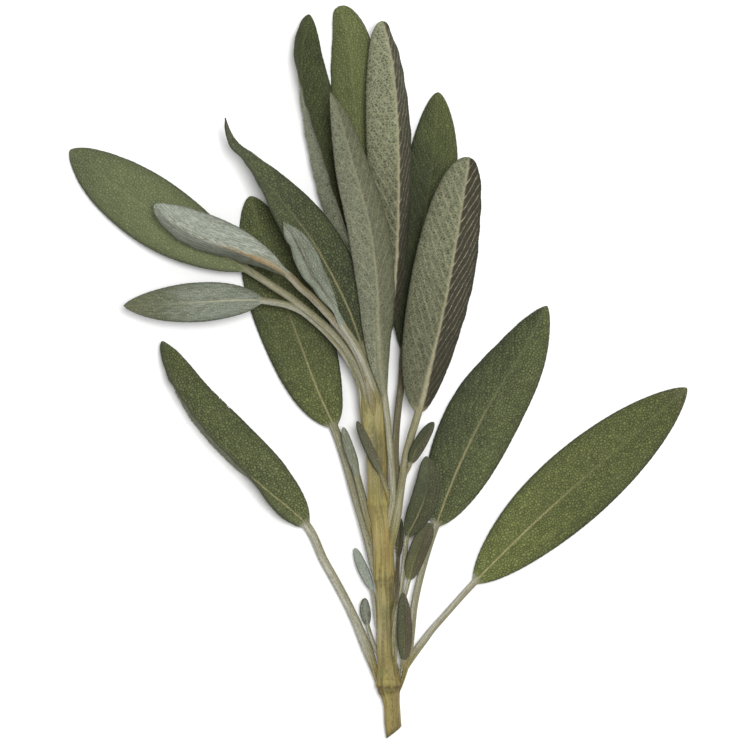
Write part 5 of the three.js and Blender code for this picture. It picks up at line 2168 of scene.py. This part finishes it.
# The small leaves in the axils, where the stalks meet the stem.
AXIL_LEAVES = (
    Leaf(
        node="axil_leaf_1",
        stalk=((6.8, -25.6, 8.6), (7.6, -23.8, 9.2)),
        rib=((8, -22.6, 9.6), (9, -19.8, 10), (11, -16.1, 10.2), (13.7, -12.4, 9.8)),
        width=3.7, taper=(0.45, 0.55), roll=(-20, -20, -20),
        tone=Tone(
            age=(0.1, 0.0), bloom=(0.05, 0.1), brown=(0.1, 0.45), veins=0.5, pebble=0.5, bark=0.0,
        ),
        relief=0.5, root=(6, -31, 8),
    ),
    Leaf(
        node="axil_leaf_2",
        stalk=(
            (3.7, -70.7, 4.7), (3.9, -65.2, 5.2), (4.6, -59.7, 5.5), (5.6, -54.7, 5.4),
            (6.2, -49.5, 5.5), (6.7, -45, 5.9),
        ),
        rib=(
            (7.1, -41.3, 6.2), (9.6, -36, 6.7), (11.5, -31.1, 6.9), (12.3, -25.8, 6.8),
            (11.8, -20.9, 6.4),
        ),
        width=7.4, taper=(0.7, 0.7), roll=(10, 0, -5), stalk_width=1.15, left=(20, 35, 25),
        right=(20, 30, 25),
        tone=Tone(
            age=(0.15, 0.1), bloom=(0.05, 0.25), brown=(0.1, 0.3), veins=0.9, pebble=0.5,
            bark=0.2, frost_and_light=0.4,
        ),
        relief=0.6, root=(3.4, -76.8, 3.2),
    ),
    Leaf(
        node="axil_leaf_3",
        stalk=((4.4, -69.7, 4.4), (4.8, -64, 4.8), (5.6, -59, 4.9), (6.7, -55.3, 5)),
        rib=((7.6, -51.8, 5.2), (8.8, -47.2, 6), (10.6, -42.5, 6.3), (13, -37.6, 6)),
        width=5.2, taper=(0.55, 0.5), stalk_width=0.9,
        tone=Tone(
            age=(0.8, 0.1), bloom=(0.05, 0.1), brown=(0.4, 0.8), veins=0.4, pebble=0.5, bark=0.2,
            frost_and_light=0.4,
        ),
        relief=0.5, root=(4.5, -77.2, 3.4),
    ),
    Leaf(
        node="axil_leaf_4",
        stalk=((5.3, -75, 4.2), (5.6, -73.4, 5.4)),
        rib=((6.2, -71.8, 6.2), (6.5, -67.1, 6.9), (6.4, -60.8, 7.1), (6.1, -54.8, 6.7)),
        width=3.9, taper=(0.5, 0.6), stalk_width=1.5,
        tone=Tone(
            age=(0.2, 0.1), bloom=(0.15, 0.1), brown=(0.25, 0.9), veins=0.3, pebble=0.4,
            crease_shade=0.3, bark=0.2, frost_and_light=0.3,
        ),
        relief=0.5, root=(5, -77.8, 2.6),
    ),
    Leaf(
        node="axil_leaf_5",
        stalk=((2.4, -30.8, 8), (1.4, -27.5, 8.4)),
        rib=((0.6, -25.3, 8.8), (-1.4, -21.1, 9.3), (-3.3, -17.1, 9.4), (-5.3, -12.2, 9)),
        width=2.6, taper=(0.45, 0.5), roll=(-20, -20, -20),
        tone=Tone(
            age=(0.2, 0.1), bloom=(0.4, 0.1), brown=(0.5, 0.7), veins=0.3, pebble=0.4, stalk_shade=0.5,
        ),
        relief=0.4,
    ),
    Leaf(
        node="axil_leaf_6",
        stalk=((-2, -38.8, 5.2), (-3.3, -33.8, 5.3), (-4.4, -29.4, 5.5)),
        rib=((-5.3, -25.9, 6), (-6.3, -22.1, 6.1), (-7.6, -18.2, 6), (-8.8, -13.7, 5.6)),
        width=2.6, taper=(0.45, 0.5), stalk_width=1.7, growth=Growth.YOUNG,
        tone=Tone(age=(0.9, 0.7), bloom=(0.25, 0.3), veins=0.3, pebble=0.4, frost_and_light=0.2),
        relief=0.4,
    ),
    Leaf(
        node="axil_leaf_7",
        stalk=((0.9, -67.3, 3.8), (-0.5, -61.3, 3.2), (-1, -57.3, 3.1)),
        rib=((-1.6, -54.4, 3), (-3.1, -50.9, 2.8), (-4.6, -47.4, 2.6), (-5.9, -43.9, 2.2)),
        width=2.6, taper=(0.5, 0.5), stalk_width=0.9, growth=Growth.YOUNG,
        tone=Tone(age=(0.9, 0.9), bloom=(1.0, 1.0), veins=0.2, pebble=0.3, frost_and_light=0.9),
        relief=0.4,
    ),
    Leaf(
        node="axil_leaf_8",
        stalk=((0.9, -72.3, 3.2), (-1.1, -68.1, 2.6), (-2.2, -64.9, 2.4)),
        rib=((-2.7, -63.1, 2.3), (-3.1, -60.9, 2.2), (-3.4, -58.6, 2.2), (-3.4, -56.4, 2.2)),
        width=2.6, taper=(0.5, 0.5), stalk_width=0.9, growth=Growth.YOUNG,
        tone=Tone(
            age=(0.4, 0.3), bloom=(0.6, 0.3), brown=(0.7, 0.8), tip=1.5, veins=0.2, pebble=0.4,
            bark=0.4, frost_and_light=0.7,
        ),
        relief=0.4,
    ),
    Leaf(
        node="axil_leaf_9",
        stalk=(
            (3.1, -65.2, 4.7), (3.7, -60.7, 5.3), (4.5, -57, 5.4), (4.7, -53, 5.4),
            (4.7, -49.3, 5.2),
        ),
        rib=((4.9, -46, 5.2), (5.2, -43, 5.3), (5.4, -39.8, 5.4), (5.5, -36.3, 5.3)),
        width=2.2, taper=(0.5, 0.6), roll=(30, 30, 30), stalk_width=1.05,
        tone=Tone(
            age=(0.0, 0.0), bloom=(0.0, 0.0), brown=(0.8, 0.5), veins=0.2, pebble=0.3, bark=0.3,
            stalk_shade=0.9,
        ),
        relief=0.4, root=(2.4, -69.8, 3.4),
    ),
)


def sunk_root(point: Point) -> Point:
    """Finds where inside the stem or shoot a stalk starts, so that it grows out of the bark.

    Args:
        point: The first point of the stalk, on or near the bark.

    Returns:
        A point deep in the nearest stem, nearer its foot and towards the same side.
    """
    best = (math.inf, point)
    for stem in (MAIN_STEM, LEFT_SHOOT, UPPER_SHOOT):
        route = Route([station.place for station in stem.stations])
        along = np.linspace(0.0, route.length, 400)
        track, _ = route.at(along)
        out = np.asarray(point) - track
        away = np.linalg.norm(out, axis=1)
        nearest = int(away.argmin())
        if away[nearest] < best[0]:
            lower = max(min(4.0, along[nearest] / 2), along[nearest] - ROOT_DEPTH)
            place, _ = route.at(np.array([lower]))
            place = place[0] + ROOT_INSET * out[nearest]
            best = (float(away[nearest]), tuple(float(v) for v in place))
    return best[1]


# ---------------------------------------------------------------- the studio
@dataclass(frozen=True)
class Lamp:
    """A square soft light.

    Attributes:
        name: What it is for.
        place: Metres from the middle of the table.
        size: Metres along one side.
        power: Watts.
    """

    name: str
    place: Point
    size: float
    power: float

    def build(self) -> bpy.types.Object:
        """Hangs the light and turns it to the sprig.

        Returns:
            The light.
        """
        data = bpy.data.lights.new(self.name, "AREA")
        data.size = self.size
        data.energy = self.power
        lamp = bpy.data.objects.new(self.name, data)
        bpy.context.collection.objects.link(lamp)
        lamp.location = self.place
        towards = -lamp.location.normalized()
        lamp.rotation_euler = towards.to_track_quat("-Z", "Y").to_euler()
        return lamp


@dataclass(frozen=True)
class Studio:
    """The pale table, the soft lights and the camera straight above.

    Attributes:
        lamps: The lights.
        sky: Strength of the even light from all round.
        height: Millimetres from the table to the camera.
        foot: Where on the table the camera looks straight down.
        lens: Focal length in millimetres for a 36 mm wide frame.
        principal: Pixels from the frame's middle to the point straight below, right and down.
        frame: Pixels along the frame.
    """

    lamps: tuple[Lamp, ...] = (
        Lamp("soft light overhead", (0.13, 0.09, 1.1), 0.3, 10.0),
        Lamp("low light from the right", (1.1, 0.9, 0.6), 0.5, 8.0),
    )
    sky: float = 0.48
    height: float = 1039.0
    foot: tuple[float, float] = (-0.25, 0.23)
    lens: float = 200.0
    principal: tuple[float, float] = (3.5, -3.0)
    frame: int = 748

    def build(self) -> None:
        """Sets the table, the lights and the camera."""
        self._table()
        for lamp in self.lamps:
            lamp.build()
        world = bpy.data.worlds.new("pale room")
        world.use_nodes = True
        background = world.node_tree.nodes["Background"]
        background.inputs["Color"].default_value = linear("#ffffff")
        background.inputs["Strength"].default_value = self.sky
        bpy.context.scene.world = world
        bpy.context.scene.view_settings.view_transform = "Standard"
        self._camera()

    def _table(self) -> None:
        """Lays the pale table under the sprig."""
        bpy.ops.object.select_all(action="DESELECT")
        bpy.ops.mesh.primitive_plane_add(size=3.0)
        table = bpy.context.object
        table.name = "table"
        shader = Shader("matt white paper")
        place = add_node(shader.tree, "ShaderNodeTexCoord").outputs["Object"]
        fibre = shader.noise(0.002, place, 2.0)
        colour = shader.mix(fibre, linear("#f6f6f6"), linear("#f8f8f8"))
        paper = shader.finish(colour, fibre, {"Roughness": 0.95, "Specular IOR Level": 0.1}, 0.0)
        table.data.materials.append(paper)

    def _camera(self) -> None:
        """Hangs the camera straight above."""
        data = bpy.data.cameras.new("camera")
        data.lens = self.lens
        data.sensor_width = 36.0
        data.shift_x = -self.principal[0] / self.frame
        data.shift_y = self.principal[1] / self.frame
        data.clip_end = 10.0
        camera = bpy.data.objects.new("camera", data)
        bpy.context.collection.objects.link(camera)
        camera.location = (self.foot[0] * MM, self.foot[1] * MM, self.height * MM)
        bpy.context.scene.camera = camera


def main() -> None:
    """Builds the sprig piece by piece, then the studio, and logs each piece's face count."""
    logging.basicConfig(level=logging.INFO, format="%(message)s")
    finishes = Finishes.make()
    for number, stem in enumerate((MAIN_STEM, LEFT_SHOOT, UPPER_SHOOT)):
        bark = finishes.bark if stem is MAIN_STEM else finishes.skin
        piece = stem.build(number, bark, finishes.cut)
        log.info("%s: %d faces", piece.name, len(piece.data.polygons))
    for number, leaf in enumerate(LARGE_LEAVES + AXIL_LEAVES):
        piece = leaf.build(number, finishes)
        log.info("%s: %d faces", piece.name, len(piece.data.polygons))
    Studio().build()
    log.info("sizes written")


if __name__ == "__main__":
    main()
